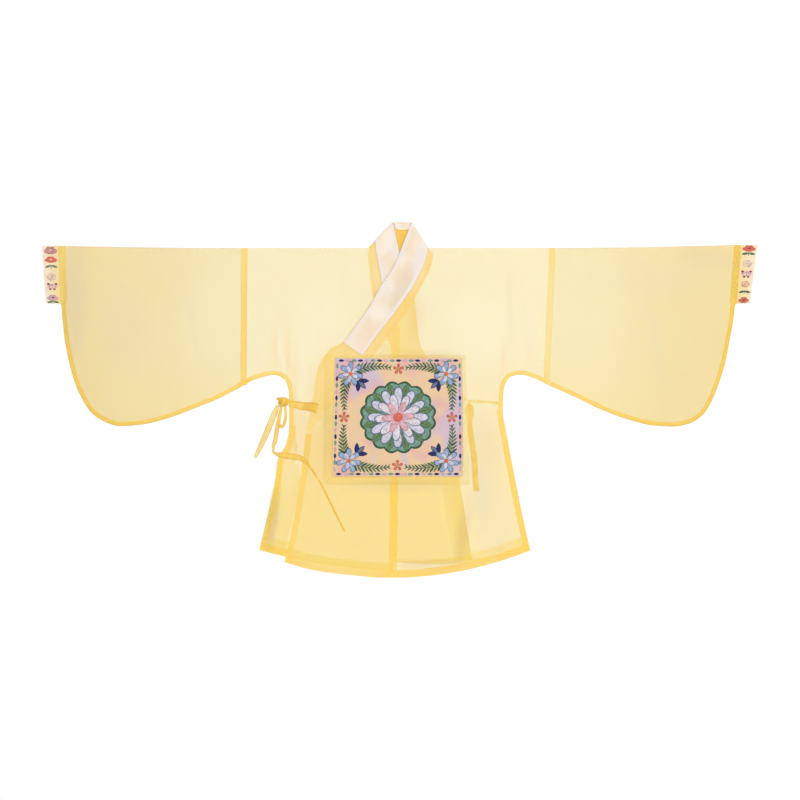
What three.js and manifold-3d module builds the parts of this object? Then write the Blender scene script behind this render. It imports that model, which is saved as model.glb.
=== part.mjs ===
// A sheer cross-collar jacket with lute-shaped sleeves, laid flat on its back.
// Millimetres. +X runs along the sleeves, +Y from hem to neck, +Z up from the
// surface that it lies on. "right" and "left" are the wearer's own sides, so
// the right sleeve lies towards -X. Every piece of cloth is a closed wall that
// lies 0.3 mm from its neighbours, and pieces that overlap lie on each other.

import * as THREE from "three";
import { mergeVertices } from "three/addons/utils/BufferGeometryUtils.js";
import Module from "manifold-3d";

// ---------------------------------------------------------------- dimensions

const WALL = 1.0; // one cloth wall
const GAP = 0.3; // air between walls, and between pieces at a seam
const LEVEL = WALL + GAP; // rise from one lying wall to the next
const GUARD_WALL = 0.8; // the guard is one thin strip
const BADGE_WALL = 1.2;

const SHOULDER_Y = 379.5; // the fold along both shoulders
const SEAM_HALF = GAP / 2;
const FOLD_BULGE = 0.65; // how far a folded edge rounds out
const FOLD_SINK = 0.1; // keeps a folded edge's flats inside its two walls

const CENTRE_TOP_X = -8; // the centre seams lean a little
const CENTRE_LEAN = 10 / 825;

const SLEEVE_FULLNESS = 2.2; // air inside a lying sleeve, at its middle
const SLEEVE_FADE = { edge: 0.12, cuff: 0.25, root: 0.2 }; // shares in which it grows

// Collar strip, outer stretch: neck-side and body-side edges and the height of
// the strip's middle, from the fold at the left shoulder to the tied end. guard
// is the share of the strip's width that the collar guard covers.
const COLLAR_OUTER = [
  { neckX: 28, neckY: 443.6, bodyX: 68, bodyY: 380.2, mid: 2.9, guard: 0.79 },
  { neckX: 19, neckY: 419, bodyX: 82, bodyY: 362, mid: 4.2, guard: 0.79 },
  { neckX: 9, neckY: 394, bodyX: 76, bodyY: 331, mid: 5.0, guard: 0.78 },
  { neckX: -14, neckY: 337, bodyX: 49.5, bodyY: 277, mid: 5.2, guard: 0.77 },
  { neckX: -49, neckY: 284, bodyX: 14, bodyY: 217, mid: 4.4, guard: 0.74 },
  { neckX: -72, neckY: 241, bodyX: -10.4, bodyY: 184, mid: 3.5, guard: 0.71 },
  { neckX: -109, neckY: 187, bodyX: -47, bodyY: 138, mid: 3.1, guard: 0.7 },
  { neckX: -143, neckY: 145, bodyX: -75, bodyY: 98, mid: 3.1, guard: 0.7 },
  { neckX: -174, neckY: 127, bodyX: -106, bodyY: 66, mid: 3.1, guard: 0.7 },
  { neckX: -201, neckY: 88, bodyX: -152, bodyY: 11, mid: 3.1, guard: 0.7 },
  { neckX: -216, neckY: 12, bodyX: -206, bodyY: -51, mid: 3.1, guard: 0.7 },
  { neckX: -233, neckY: -66, bodyX: -236, bodyY: -85, mid: 3.1, guard: 0.7 },
];
const OUTER_AT_CENTRE = 5; // the row whose body edge lies on the centre seam
const OUTER_GUARD_END = 14; // half rows from the shoulder to the guard's end

// Collar strip, inner stretch, from the fold at the right shoulder to the end
// that the inner tie is sewn to.
const COLLAR_INNER = [
  { neckX: -17, neckY: 443.6, bodyX: -78, bodyY: 380.5, mid: 2.9, guard: 0.73 },
  { neckX: -9, neckY: 405, bodyX: -80, bodyY: 357, mid: 2.6, guard: 0.71 },
  { neckX: 0, neckY: 367, bodyX: -77, bodyY: 335, mid: 2.3, guard: 0.7 },
  { neckX: 21, neckY: 302, bodyX: -71, bodyY: 279, mid: 1.8, guard: 0.7 },
  { neckX: 38, neckY: 245, bodyX: -57, bodyY: 217, mid: 1.8, guard: 0.7 },
  { neckX: 42, neckY: 200, bodyX: -32, bodyY: 154, mid: 1.8, guard: 0.7 },
  { neckX: 47, neckY: 155, bodyX: -11.3, bodyY: 110, mid: 1.8, guard: 0.7 },
  { neckX: 63, neckY: 113, bodyX: 19, bodyY: 70, mid: 1.8, guard: 0.7 },
  { neckX: 104, neckY: 78, bodyX: 61, bodyY: 22, mid: 1.8, guard: 0.7 },
  { neckX: 136, neckY: 45, bodyX: 93, bodyY: -13, mid: 1.8, guard: 0.7 },
  { neckX: 166, neckY: 4, bodyX: 126, bodyY: -53, mid: 1.8, guard: 0.7 },
];
const INNER_AT_CENTRE = 6;
const INNER_GUARD_END = 7; // half rows

const COLLAR_BACK_MID = 1.6; // the stretch behind the neck lies on its guard
const COLLAR_BACK_STEPS = 4;
const GUARD_INSET = 0.01; // share of the collar's width left bare at its edge

// Body panels. A row runs from the neckline or centre seam out to the sleeve
// seam, the underarm curve and the side. frontY and backY are where it meets
// the centre seams; rows on the neckline take that edge from the collar. drop
// bows a row down between its ends, as the hem does.
const BODY_LEFT = [
  { outX: 389, outY: SHOULDER_Y, frontY: null, backY: SHOULDER_Y, drop: 0 },
  { outX: 387, outY: 334, frontY: null, backY: 358, drop: 0 },
  { outX: 381.3, outY: 205, frontY: null, backY: 315, drop: 0 },
  { outX: 374, outY: 36, frontY: null, backY: 262, drop: 0 },
  { outX: 338, outY: 53, frontY: null, backY: 228, drop: 0 },
  { outX: 303, outY: 63, frontY: null, backY: 190, drop: 0 },
  { outX: 276, outY: 58, frontY: 134, backY: 140, drop: 0 },
  { outX: 258.5, outY: 20, frontY: 79, backY: 80, drop: 0 },
  { outX: 257, outY: -25, frontY: 4, backY: 4, drop: 0 },
  { outX: 268, outY: -93, frontY: -88, backY: -88, drop: 0 },
  { outX: 286, outY: -188, frontY: -196, backY: -196, drop: 3 },
  { outX: 306, outY: -288, frontY: -311, backY: -306, drop: 8 },
  { outX: 325.5, outY: -376, frontY: -444.4, backY: -428, drop: 17 },
];
const BODY_RIGHT = [
  { outX: -397, outY: SHOULDER_Y, frontY: null, backY: SHOULDER_Y, drop: 0 },
  { outX: -397.4, outY: 334, frontY: null, backY: 360, drop: 0 },
  { outX: -398, outY: 205, frontY: null, backY: 325, drop: 0 },
  { outX: -399.5, outY: 31, frontY: null, backY: 283, drop: 0 },
  { outX: -362, outY: 51, frontY: null, backY: 240, drop: 0 },
  { outX: -315, outY: 62.5, frontY: null, backY: 160, drop: 0 },
  { outX: -285, outY: 46, frontY: null, backY: 108, drop: 0 },
  { outX: -277, outY: 5, frontY: 40, backY: 40, drop: 0 },
  { outX: -277, outY: -63, frontY: -35, backY: -35, drop: 0 },
  { outX: -284, outY: -108, frontY: -100, backY: -100, drop: 0 },
  { outX: -306, outY: -150, frontY: -160, backY: -160, drop: 0 },
  { outX: -313, outY: -208, frontY: -225, backY: -225, drop: 2 },
  { outX: -331, outY: -286, frontY: -310, backY: -310, drop: 5 },
  { outX: -352, outY: -375, frontY: -431, backY: -430, drop: 9 },
];
const SEAM_FOOT_ROW = 6; // half rows: the straight sleeve seam ends here
const VENT_TOP_ROW = 16; // half rows: the side is sewn down to here
const BODY_COLUMNS = 11;

// Overlap panels. A column runs down from the neckline to the hem; bow carries
// its middle sideways.
const OVERLAP_OUTER = [
  { lowX: -18, lowY: -444.4, bow: 0 },
  { lowX: -56, lowY: -444, bow: 0 },
  { lowX: -92, lowY: -441, bow: 0 },
  { lowX: -130, lowY: -437, bow: 0 },
  { lowX: -180, lowY: -431.5, bow: 1 },
  { lowX: -232, lowY: -422, bow: 3 },
  { lowX: -289, lowY: -405, bow: 6 },
];
const OVERLAP_INNER = [
  { lowX: -17.8, lowY: -431, bow: 0 },
  { lowX: 32, lowY: -431, bow: 0 },
  { lowX: 82, lowY: -425, bow: -8 },
  { lowX: 130, lowY: -416, bow: -15 },
  { lowX: 180, lowY: -406, bow: -22 },
];
const OVERLAP_ROWS = 13;

// Sleeve extensions: a ring of cloth for each row, from the cuff to the sleeve
// seam, between a point on the top fold and one on the curved seam below.
const SLEEVE_RIGHT = [
  { topX: -855, topY: 385, lowX: -850, lowY: 241.5 },
  { topX: -844, topY: 385, lowX: -847, lowY: 237 },
  { topX: -834, topY: 385, lowX: -844, lowY: 204 },
  { topX: -824, topY: 385, lowX: -839, lowY: 157 },
  { topX: -809, topY: 384.5, lowX: -829, lowY: 102 },
  { topX: -789, topY: 384, lowX: -814, lowY: 47 },
  { topX: -764, topY: 383.5, lowX: -794, lowY: 2 },
  { topX: -734, topY: 383, lowX: -772, lowY: -31 },
  { topX: -699, topY: 382, lowX: -739, lowY: -54 },
  { topX: -659, topY: 381.5, lowX: -699, lowY: -65.5 },
  { topX: -612, topY: 381, lowX: -649, lowY: -62 },
  { topX: -554, topY: 380, lowX: -587, lowY: -48 },
  { topX: -492, topY: 379.8, lowX: -519, lowY: -23 },
  { topX: -439, topY: 379.6, lowX: -457, lowY: 2 },
  { topX: -397.3, topY: 379.5, lowX: -400.4, lowY: 31 },
];
const SLEEVE_LEFT = [
  { topX: 853, topY: 387.4, lowX: 842, lowY: 241.5 },
  { topX: 843, topY: 387.3, lowX: 838, lowY: 237 },
  { topX: 833, topY: 387.2, lowX: 833, lowY: 199 },
  { topX: 821, topY: 387, lowX: 824, lowY: 149 },
  { topX: 806, topY: 386.5, lowX: 814, lowY: 97 },
  { topX: 786, topY: 386, lowX: 799, lowY: 47 },
  { topX: 761, topY: 385.5, lowX: 779, lowY: -3 },
  { topX: 733, topY: 385, lowX: 756, lowY: -38 },
  { topX: 701, topY: 384, lowX: 723, lowY: -59 },
  { topX: 661, topY: 383, lowX: 681, lowY: -66.5 },
  { topX: 613, topY: 382, lowX: 633, lowY: -64 },
  { topX: 556, topY: 381.2, lowX: 571, lowY: -49 },
  { topX: 493, topY: 380.5, lowX: 503, lowY: -24 },
  { topX: 438, topY: 380, lowX: 443, lowY: 5 },
  { topX: 389.4, topY: 379.5, lowX: 374.9, lowY: 35.6 },
];
const SLEEVE_RING_STEPS = 8;

// Cuff ribbons: short rings that carry on from the sleeves' ends.
const RIBBON_RIGHT = [
  { topX: -893.1, topY: 384.5, lowX: -883, lowY: 242.5 },
  { topX: -881, topY: 385, lowX: -872.5, lowY: 242 },
  { topX: -868, topY: 385, lowX: -861.5, lowY: 242 },
  { topX: -855.4, topY: 385, lowX: -850.4, lowY: 241.5 },
];
const RIBBON_LEFT = [
  { topX: 893.1, topY: 386.5, lowX: 873.5, lowY: 242.5 },
  { topX: 880, topY: 387, lowX: 863.5, lowY: 242 },
  { topX: 867, topY: 387.2, lowX: 853, lowY: 242 },
  { topX: 853.4, topY: 387.4, lowX: 842.4, lowY: 241.5 },
];
const RIBBON_RING_STEPS = 5;

// Badge: its four corners.
const BADGE = { leftTop: -162, rightTop: 155, leftLow: -170, rightLow: 157, top: 104.5, low: -191 };
const BADGE_STEPS = { across: 9, down: 8 };

// Soft folds that stand in the upper walls: centre, half length, half width,
// direction from +X in degrees, height.
const SOFT_FOLDS = [
  { x: -640, y: 170, along: 190, across: 46, turn: 66, height: 1.8 },
  { x: -520, y: 215, along: 150, across: 40, turn: 112, height: 1.4 },
  { x: -330, y: 225, along: 120, across: 38, turn: 62, height: 1.3 },
  { x: -190, y: 265, along: 90, across: 36, turn: 80, height: 1.1 },
  { x: 640, y: 150, along: 190, across: 50, turn: 100, height: 1.9 },
  { x: 500, y: 200, along: 150, across: 42, turn: 70, height: 1.3 },
  { x: 300, y: 215, along: 120, across: 40, turn: 118, height: 1.4 },
  { x: 175, y: 250, along: 100, across: 36, turn: 96, height: 1.0 },
  { x: 215, y: -150, along: 190, across: 34, turn: 94, height: 1.6 },
  { x: 60, y: -320, along: 105, across: 32, turn: 86, height: 1.2 },
  { x: -130, y: -310, along: 110, across: 36, turn: 97, height: 1.5 },
];

// The right front has them only where no other front lies on it.
const RIGHT_FOLDS = { endX: -110, fullX: -170, endY: 80, fullY: 130 };

// Where the outer front climbs over what lies beneath it.
const UNDER_EDGE = [
  { y: 380, x: 1 },
  { y: 259, x: 42 },
  { y: 162, x: 44 },
  { y: 109, x: 60 },
  { y: 49, x: 106 },
  { y: -6, x: 168 },
];
const CLIMB = { reach: 22, ramp: 26 };
const SIDE_CLIMB = { highY: 150, lowY: 70, nearX: 263, farX: 340 };

// Tape ties: middle line, height of the underside, width.
const TIE_BAND = [
  { x: -206, y: -22, z: 4.4, width: 24 },
  { x: -221, y: -17, z: 4.3, width: 23 },
  { x: -239, y: -16, z: 2.8, width: 20 },
  { x: -258, y: -12, z: 2.6, width: 18 },
  { x: -277.8, y: -8, z: 2.6, width: 15 },
];
const KNOT_STEPS = { round: 14, tall: 10 };
const KNOT = { x: -291.6, y: -7, across: 13, along: 11, tall: 8.2 };
const KNOT_FORM = { base: 0.12, waist: 0.16, waistWide: 0.22 }; // shares of its size
const TAIL_A = [
  { x: -304.9, y: -13.5, z: 0, width: 9 },
  { x: -317, y: -41, z: 0, width: 16 },
  { x: -329, y: -71, z: 0, width: 16 },
  { x: -344, y: -106, z: 0, width: 14 },
  { x: -356, y: -131, z: 0, width: 11 },
  { x: -363, y: -145, z: 0, width: 7 },
];
const LOOP = [
  { x: -296.3, y: -17.8, z: 1.3, width: 6 },
  { x: -301, y: -40, z: 1.3, width: 9 },
  { x: -303.5, y: -56, z: 1.6, width: 10 },
  { x: -301, y: -66, z: 3.2, width: 8 },
  { x: -294.5, y: -66.5, z: 4.4, width: 8 },
  { x: -288.5, y: -57, z: 4.4, width: 8 },
  { x: -286, y: -40, z: 3.6, width: 8 },
  { x: -287, y: -17.6, z: 3.0, width: 6 },
];
const TAIL_B = [
  { x: -297.3, y: -17.4, z: 0, width: 5 },
  { x: -303, y: -45, z: 0, width: 8 },
  { x: -308, y: -78, z: 0, width: 11 },
  { x: -312, y: -102, z: 0, width: 11 },
  { x: -317, y: -117, z: 0, width: 8 },
  { x: -317, y: -128, z: 0.2, width: 6 },
  { x: -309, y: -135, z: 2.0, width: 9 },
  { x: -294, y: -138, z: 2.7, width: 13 },
  { x: -272, y: -141, z: 2.7, width: 15 },
  { x: -253, y: -144, z: 4.0, width: 14 },
  { x: -238, y: -152, z: 4.0, width: 10 },
  { x: -223, y: -171, z: 4.0, width: 5 },
  { x: -204, y: -199, z: 4.0, width: 4.5 },
  { x: -184, y: -236, z: 4.3, width: 4.5 },
  { x: -162, y: -281, z: 5.1, width: 4.5 },
  { x: -139, y: -328, z: 5.3, width: 4.5 },
];
const INNER_BAND = [
  { x: 168.8, y: -2.5, z: 1.3, width: 7 },
  { x: 190, y: -4, z: 1.3, width: 7 },
  { x: 222, y: -5.5, z: 1.3, width: 7 },
  { x: 253, y: -8, z: 1.3, width: 7 },
];
const INNER_TAIL = [
  { x: 172, y: -7.5, z: 1.3, width: 8 },
  { x: 173.5, y: -20, z: 1.3, width: 20 },
  { x: 174, y: -35, z: 1.3, width: 22 },
  { x: 174, y: -50, z: 1.3, width: 12 },
  { x: 176, y: -78, z: 1.3, width: 14 },
  { x: 180, y: -112, z: 1.3, width: 15 },
  { x: 186, y: -150, z: 1.3, width: 15 },
  { x: 188, y: -188, z: 1.3, width: 15 },
  { x: 191, y: -228, z: 1.3, width: 14 },
];

// ------------------------------------------------------------------- finishes

const cloth = (color, roughness) => new THREE.MeshStandardMaterial({ color, roughness, metalness: 0 });
const ORGANZA = () => cloth(0xf8df96, 0.55);
const COLLAR_CLOTH = () => cloth(0xf6d378, 0.55);
const GUARD_CLOTH = () => cloth(0xf6e4d8, 0.45);
const BADGE_CLOTH = () => cloth(0xe9b9a6, 0.6);
const RIBBON_CLOTH = () => cloth(0xf0d9a8, 0.6);
const TAPE_CLOTH = () => cloth(0xf7cf5c, 0.5);

// ------------------------------------------------------------ small functions

const centreX = (y) => CENTRE_TOP_X + (y - SHOULDER_Y) * CENTRE_LEAN;
const mix = (a, b, t) => a + (b - a) * t;
const bowed = (t) => 4 * t * (1 - t); // 0 at both ends, 1 halfway

function ease(from, to, value) {
  const t = Math.min(1, Math.max(0, (value - from) / (to - from)));
  return t * t * (3 - 2 * t);
}

// A value between the rows of a table's column, without overshoot.
function along(values, place) {
  const last = values.length - 1;
  const k = Math.min(last - 1, Math.floor(place));
  const step = (i) => values[i + 1] - values[i];
  const slope = (i) => {
    if (i === 0) return step(0);
    if (i === last) return step(last - 1);
    const before = step(i - 1);
    const after = step(i);
    return before * after > 0 ? (2 * before * after) / (before + after) : 0;
  };
  const t = place - k;
  const t2 = t * t;
  const t3 = t2 * t;
  return (
    values[k] * (2 * t3 - 3 * t2 + 1) +
    slope(k) * (t3 - 2 * t2 + t) +
    values[k + 1] * (3 * t2 - 2 * t3) +
    slope(k + 1) * (t3 - t2)
  );
}

// The table with a row added between each two.
function doubled(table) {
  const names = Object.keys(table[0]);
  const rows = [];
  for (let half = 0; half <= 2 * (table.length - 1); half++) {
    const row = {};
    for (const name of names) row[name] = along(table.map((r) => r[name]), half / 2);
    rows.push(row);
  }
  return rows;
}

function softFolds(x, y) {
  let height = 0;
  for (const fold of SOFT_FOLDS) {
    const turn = THREE.MathUtils.degToRad(fold.turn);
    const u = ((x - fold.x) * Math.cos(turn) + (y - fold.y) * Math.sin(turn)) / fold.along;
    const v = ((y - fold.y) * Math.cos(turn) - (x - fold.x) * Math.sin(turn)) / fold.across;
    if (Math.abs(u) < 1 && Math.abs(v) < 1) {
      height += fold.height * Math.cos((u * Math.PI) / 2) ** 2 * Math.cos((v * Math.PI) / 2) ** 2;
    }
  }
  return height;
}

// Undersides of the walls at a place.
const onTable = () => 0;
const innerFront = () => LEVEL;
function rightFront(x, y) {
  const outside = ease(RIGHT_FOLDS.endX, RIGHT_FOLDS.fullX, x);
  const above = ease(RIGHT_FOLDS.endY, RIGHT_FOLDS.fullY, y);
  return LEVEL + softFolds(x, y) * outside * above;
}


function outerFront(x, y) {
  const edge = along(UNDER_EDGE.map((r) => r.x), underPlace(y)) + CLIMB.reach;
  const overFront = 1 - ease(edge, edge + CLIMB.ramp, x);
  const atSide = ease(SIDE_CLIMB.highY, SIDE_CLIMB.lowY, y) * ease(SIDE_CLIMB.farX, SIDE_CLIMB.nearX, x);
  return LEVEL + LEVEL * Math.max(overFront, atSide) + softFolds(x, y);
}

function underPlace(y) {
  for (let i = 0; i < UNDER_EDGE.length - 1; i++) {
    const above = UNDER_EDGE[i];
    const below = UNDER_EDGE[i + 1];
    if (y >= below.y) return i + Math.max(0, (above.y - y) / (above.y - below.y));
  }
  return UNDER_EDGE.length - 1;
}

const badgeUnder = (x, y) => outerFront(x, y) + LEVEL;

// -------------------------------------------------------------- closed solids

class Solid {
  constructor() {
    this.points = [];
    this.faces = [];
  }

  add(point) {
    this.points.push(point.x, point.y, point.z);
    return this.points.length / 3 - 1;
  }

  quad(a, b, c, d) {
    this.faces.push(a, b, c, a, c, d);
  }

  // Faces point outwards when the signed volume is positive.
  geometry() {
    const p = (i) => new THREE.Vector3(...this.points.slice(3 * i, 3 * i + 3));
    let volume = 0;
    for (let f = 0; f < this.faces.length; f += 3) {
      const [a, b, c] = [p(this.faces[f]), p(this.faces[f + 1]), p(this.faces[f + 2])];
      volume += a.dot(b.cross(c));
    }
    if (volume < 0) this.faces.reverse();
    const geometry = new THREE.BufferGeometry();
    geometry.setAttribute("position", new THREE.Float32BufferAttribute(this.points, 3));
    geometry.setIndex(this.faces);
    return geometry;
  }
}

// A wall between two grids of points, upper[row][column] over lower[row][column].
function wallBetween(upper, lower) {
  const solid = new Solid();
  const top = upper.map((row) => row.map((p) => solid.add(p)));
  const under = lower.map((row) => row.map((p) => solid.add(p)));
  const lastRow = top.length - 1;
  const lastColumn = top[0].length - 1;
  for (let i = 0; i < lastRow; i++) {
    for (let j = 0; j < lastColumn; j++) {
      solid.quad(top[i][j], top[i][j + 1], top[i + 1][j + 1], top[i + 1][j]);
      solid.quad(under[i][j], under[i + 1][j], under[i + 1][j + 1], under[i][j + 1]);
    }
  }
  for (let j = 0; j < lastColumn; j++) {
    solid.quad(top[0][j + 1], top[0][j], under[0][j], under[0][j + 1]);
    solid.quad(top[lastRow][j], top[lastRow][j + 1], under[lastRow][j + 1], under[lastRow][j]);
  }
  for (let i = 0; i < lastRow; i++) {
    solid.quad(top[i][0], top[i + 1][0], under[i + 1][0], under[i][0]);
    solid.quad(top[i + 1][lastColumn], top[i][lastColumn], under[i][lastColumn], under[i + 1][lastColumn]);
  }
  return solid.geometry();
}

// A wall that lies at a height, over a grid of places in plan.
function lyingWall(plan, underside, thickness) {
  const raise = (extra) => plan.map((row) => row.map((p) => (
    new THREE.Vector3(p.x, p.y, underside(p.x, p.y) + extra)
  )));
  return wallBetween(raise(thickness), raise(0));
}

// A wall on both sides of a curved middle surface, thickness shared between.
function wallAround(middle, thickness, offset = 0) {
  const normal = (i, j) => {
    const up = middle[Math.max(0, i - 1)][j];
    const down = middle[Math.min(middle.length - 1, i + 1)][j];
    const west = middle[i][Math.max(0, j - 1)];
    const east = middle[i][Math.min(middle[0].length - 1, j + 1)];
    const across = new THREE.Vector3().subVectors(east, west);
    return new THREE.Vector3().subVectors(down, up).cross(across).normalize();
  };
  const side = (distance) => middle.map((row, i) => row.map((p, j) => (
    p.clone().addScaledVector(normal(i, j), distance)
  )));
  return wallBetween(side(offset + thickness / 2), side(offset - thickness / 2));
}

// A tube of cloth between an outer and an inner ring at each section, open at
// both ends.
function clothTube(outer, inner) {
  const solid = new Solid();
  const out = outer.map((ring) => ring.map((p) => solid.add(p)));
  const into = inner.map((ring) => ring.map((p) => solid.add(p)));
  const count = out[0].length;
  const last = out.length - 1;
  for (let k = 0; k < count; k++) {
    const next = (k + 1) % count;
    for (let i = 0; i < last; i++) {
      solid.quad(out[i][k], out[i][next], out[i + 1][next], out[i + 1][k]);
      solid.quad(into[i][k], into[i + 1][k], into[i + 1][next], into[i][next]);
    }
    solid.quad(out[0][next], out[0][k], into[0][k], into[0][next]);
    solid.quad(out[last][k], out[last][next], into[last][next], into[last][k]);
  }
  return solid.geometry();
}

// The rounded edge where an upper and a lower wall are folded or sewn together,
// along a line of places, on the side that outward() gives.
function foldedEdge(line, outward, upperside) {
  const solid = new Solid();
  const rings = line.map((p, i) => {
    const before = line[Math.max(0, i - 1)];
    const after = line[Math.min(line.length - 1, i + 1)];
    const run = new THREE.Vector2(after.x - before.x, after.y - before.y).normalize();
    const side = outward(run);
    const top = upperside(p.x, p.y) - FOLD_SINK;
    const section = [
      [-WALL, FOLD_SINK], [0, FOLD_SINK], [0.8 * FOLD_BULGE, 0.25 * top],
      [FOLD_BULGE, 0.5 * top], [0.8 * FOLD_BULGE, 0.75 * top], [0, top], [-WALL, top],
    ];
    return section.map(([d, z]) => solid.add({ x: p.x + side.x * d, y: p.y + side.y * d, z }));
  });
  const count = rings[0].length;
  const last = rings.length - 1;
  for (let i = 0; i < last; i++) {
    for (let k = 0; k < count; k++) {
      const next = (k + 1) % count;
      solid.quad(rings[i][k], rings[i][next], rings[i + 1][next], rings[i + 1][k]);
    }
  }
  for (let k = 1; k < count - 1; k++) {
    solid.faces.push(rings[0][0], rings[0][k + 1], rings[0][k]);
    solid.faces.push(rings[last][0], rings[last][k], rings[last][k + 1]);
  }
  return solid.geometry();
}

const wasm = await Module();
wasm.setup();

function fused(geometries) {
  const solids = geometries.map((g) => new wasm.Manifold(new wasm.Mesh({
    numProp: 3,
    vertProperties: new Float32Array(g.getAttribute("position").array),
    triVerts: new Uint32Array(g.getIndex().array),
  })));
  const mesh = solids.reduce((whole, next) => whole.add(next)).getMesh();
  const geometry = new THREE.BufferGeometry();
  geometry.setAttribute("position", new THREE.BufferAttribute(mesh.vertProperties, 3));
  geometry.setIndex(new THREE.BufferAttribute(mesh.triVerts, 1));
  return geometry;
}

// ------------------------------------------------------------- the neck edges

const collarOuterRows = doubled(COLLAR_OUTER);
const collarInnerRows = doubled(COLLAR_INNER);

// Body edge of the collar at a half row, moved off it by the seam's gap.
function neckline(rows, i) {
  const row = rows[i];
  const width = Math.hypot(row.bodyX - row.neckX, row.bodyY - row.neckY);
  return {
    x: row.bodyX + ((row.bodyX - row.neckX) * GAP) / width,
    y: row.bodyY + ((row.bodyY - row.neckY) * GAP) / width,
  };
}

// ---------------------------------------------------------------- body panels

// Places in plan from an inner edge point to the row's outer one.
function planRow(inner, row, columns) {
  const places = [];
  for (let j = 0; j <= columns; j++) {
    const t = j / columns;
    const x = mix(inner.x, row.outX, t);
    const y = mix(inner.y, row.outY, t) - bowed(t) * row.drop;
    places.push({ x, y });
  }
  return places;
}

function bodyPanel(table, { rows, atCentre }, side, frontUnder) {
  const outEdge = doubled(table.map(({ outX, outY, drop, backY }) => ({ outX, outY, drop, backY })));
  const [head, foot] = [outEdge[0], outEdge[SEAM_FOOT_ROW]];
  for (const row of outEdge.slice(1, SEAM_FOOT_ROW)) {
    row.outX = mix(head.outX, foot.outX, (head.outY - row.outY) / (head.outY - foot.outY));
  }
  const frontY = table.map((r) => r.frontY ?? 0);
  frontY[atCentre] = rows[2 * atCentre].bodyY;
  const onSeam = (y) => ({ x: centreX(y) + side * SEAM_HALF, y });
  const front = outEdge.map((row, i) => {
    if (i === 0) return planRow({ x: rows[0].bodyX, y: SHOULDER_Y }, row, BODY_COLUMNS);
    if (i < 2 * atCentre) return planRow(neckline(rows, i), row, BODY_COLUMNS);
    const y = along(frontY.slice(atCentre), i / 2 - atCentre) - (i === 2 * atCentre ? GAP : 0);
    return planRow(onSeam(y), row, BODY_COLUMNS);
  });
  const back = outEdge.map((row) => planRow(onSeam(row.backY), row, BODY_COLUMNS));
  const topside = (x, y) => frontUnder(x, y) + WALL;
  const shoulder = front[0];
  const seam = outEdge.slice(SEAM_FOOT_ROW, VENT_TOP_ROW + 1).map((r) => ({ x: r.outX, y: r.outY }));
  return fused([
    lyingWall(front, frontUnder, WALL),
    lyingWall(back, onTable, WALL),
    foldedEdge(shoulder, () => new THREE.Vector2(0, 1), topside),
    foldedEdge(seam, (run) => new THREE.Vector2(-side * run.y, side * run.x), topside),
  ]);
}

// ------------------------------------------------------------- overlap panels

function overlapPanel(table, { rows, atCentre }, side, underside) {
  const columns = doubled(table);
  const plan = columns.map((column, i) => {
    const k = 2 * atCentre + i;
    const seamY = rows[k].bodyY - GAP;
    const top = i === 0 ? { x: centreX(seamY) + side * SEAM_HALF, y: seamY } : neckline(rows, k);
    const foot = i === 0 ? centreX(column.lowY) + side * SEAM_HALF : column.lowX;
    const places = [];
    for (let j = 0; j <= OVERLAP_ROWS; j++) {
      const t = j / OVERLAP_ROWS;
      const x = mix(top.x, foot, t) + bowed(t) * column.bow;
      places.push({ x, y: mix(top.y, column.lowY, t) });
    }
    return places;
  });
  return lyingWall(plan, underside, WALL);
}

// ------------------------------------------------------------ sleeves, ribbons

// A ring lying flat: the upper wall runs from the top fold down to the seam,
// the lower one back up along the surface below.
function lyingRing(row, steps, lift) {
  const length = Math.hypot(row.lowX - row.topX, row.lowY - row.topY);
  const place = (inset, t, z) => {
    const s = mix(inset, length - inset, t) / length;
    return new THREE.Vector3(mix(row.topX, row.lowX, s), mix(row.topY, row.lowY, s), z);
  };
  const layer = (inset, extra) => {
    const upper = [];
    const lower = [];
    for (let k = 0; k <= steps; k++) {
      const t = k / steps;
      upper.push(place(inset, t, LEVEL + lift(row, t) + extra));
      lower.push(place(inset, 1 - t, extra ? 0 : WALL));
    }
    return [upper, lower];
  };
  const middle = (LEVEL + WALL) / 2;
  const [outUpper, outLower] = layer(FOLD_BULGE, WALL);
  const [inUpper, inLower] = layer(WALL + FOLD_BULGE, 0);
  return {
    outer: [place(0, 0, middle), ...outUpper, place(0, 1, middle), ...outLower],
    inner: [place(WALL, 0, middle), ...inUpper, place(WALL, 1, middle), ...inLower],
  };
}

function ringTube(table, steps, lift) {
  const rows = doubled(table);
  const rings = rows.map((row, i) => lyingRing({ ...row, share: i / (rows.length - 1) }, steps, lift));
  return clothTube(rings.map((r) => r.outer), rings.map((r) => r.inner));
}

function sleeveLift(row, t) {
  const x = mix(row.topX, row.lowX, t);
  const y = mix(row.topY, row.lowY, t);
  const fade = ease(0, SLEEVE_FADE.edge, t) * ease(1, 1 - SLEEVE_FADE.edge, t);
  const ends = ease(0, SLEEVE_FADE.cuff, row.share) * ease(1, 1 - SLEEVE_FADE.root, row.share);
  return (SLEEVE_FULLNESS * Math.sin(Math.PI * t) * ends + softFolds(x, y)) * fade;
}

const flatLift = () => 0;

// -------------------------------------------------------------- collar, guard

// Middle surface of the whole strip, from the inner end behind the neck to the
// outer end, one point at each share of its width from the neck-side edge.
function stripRow(row, sharesOf, z) {
  return sharesOf(row).map((s) => (
    new THREE.Vector3(mix(row.neckX, row.bodyX, s), mix(row.neckY, row.bodyY, s), z)
  ));
}

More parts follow.
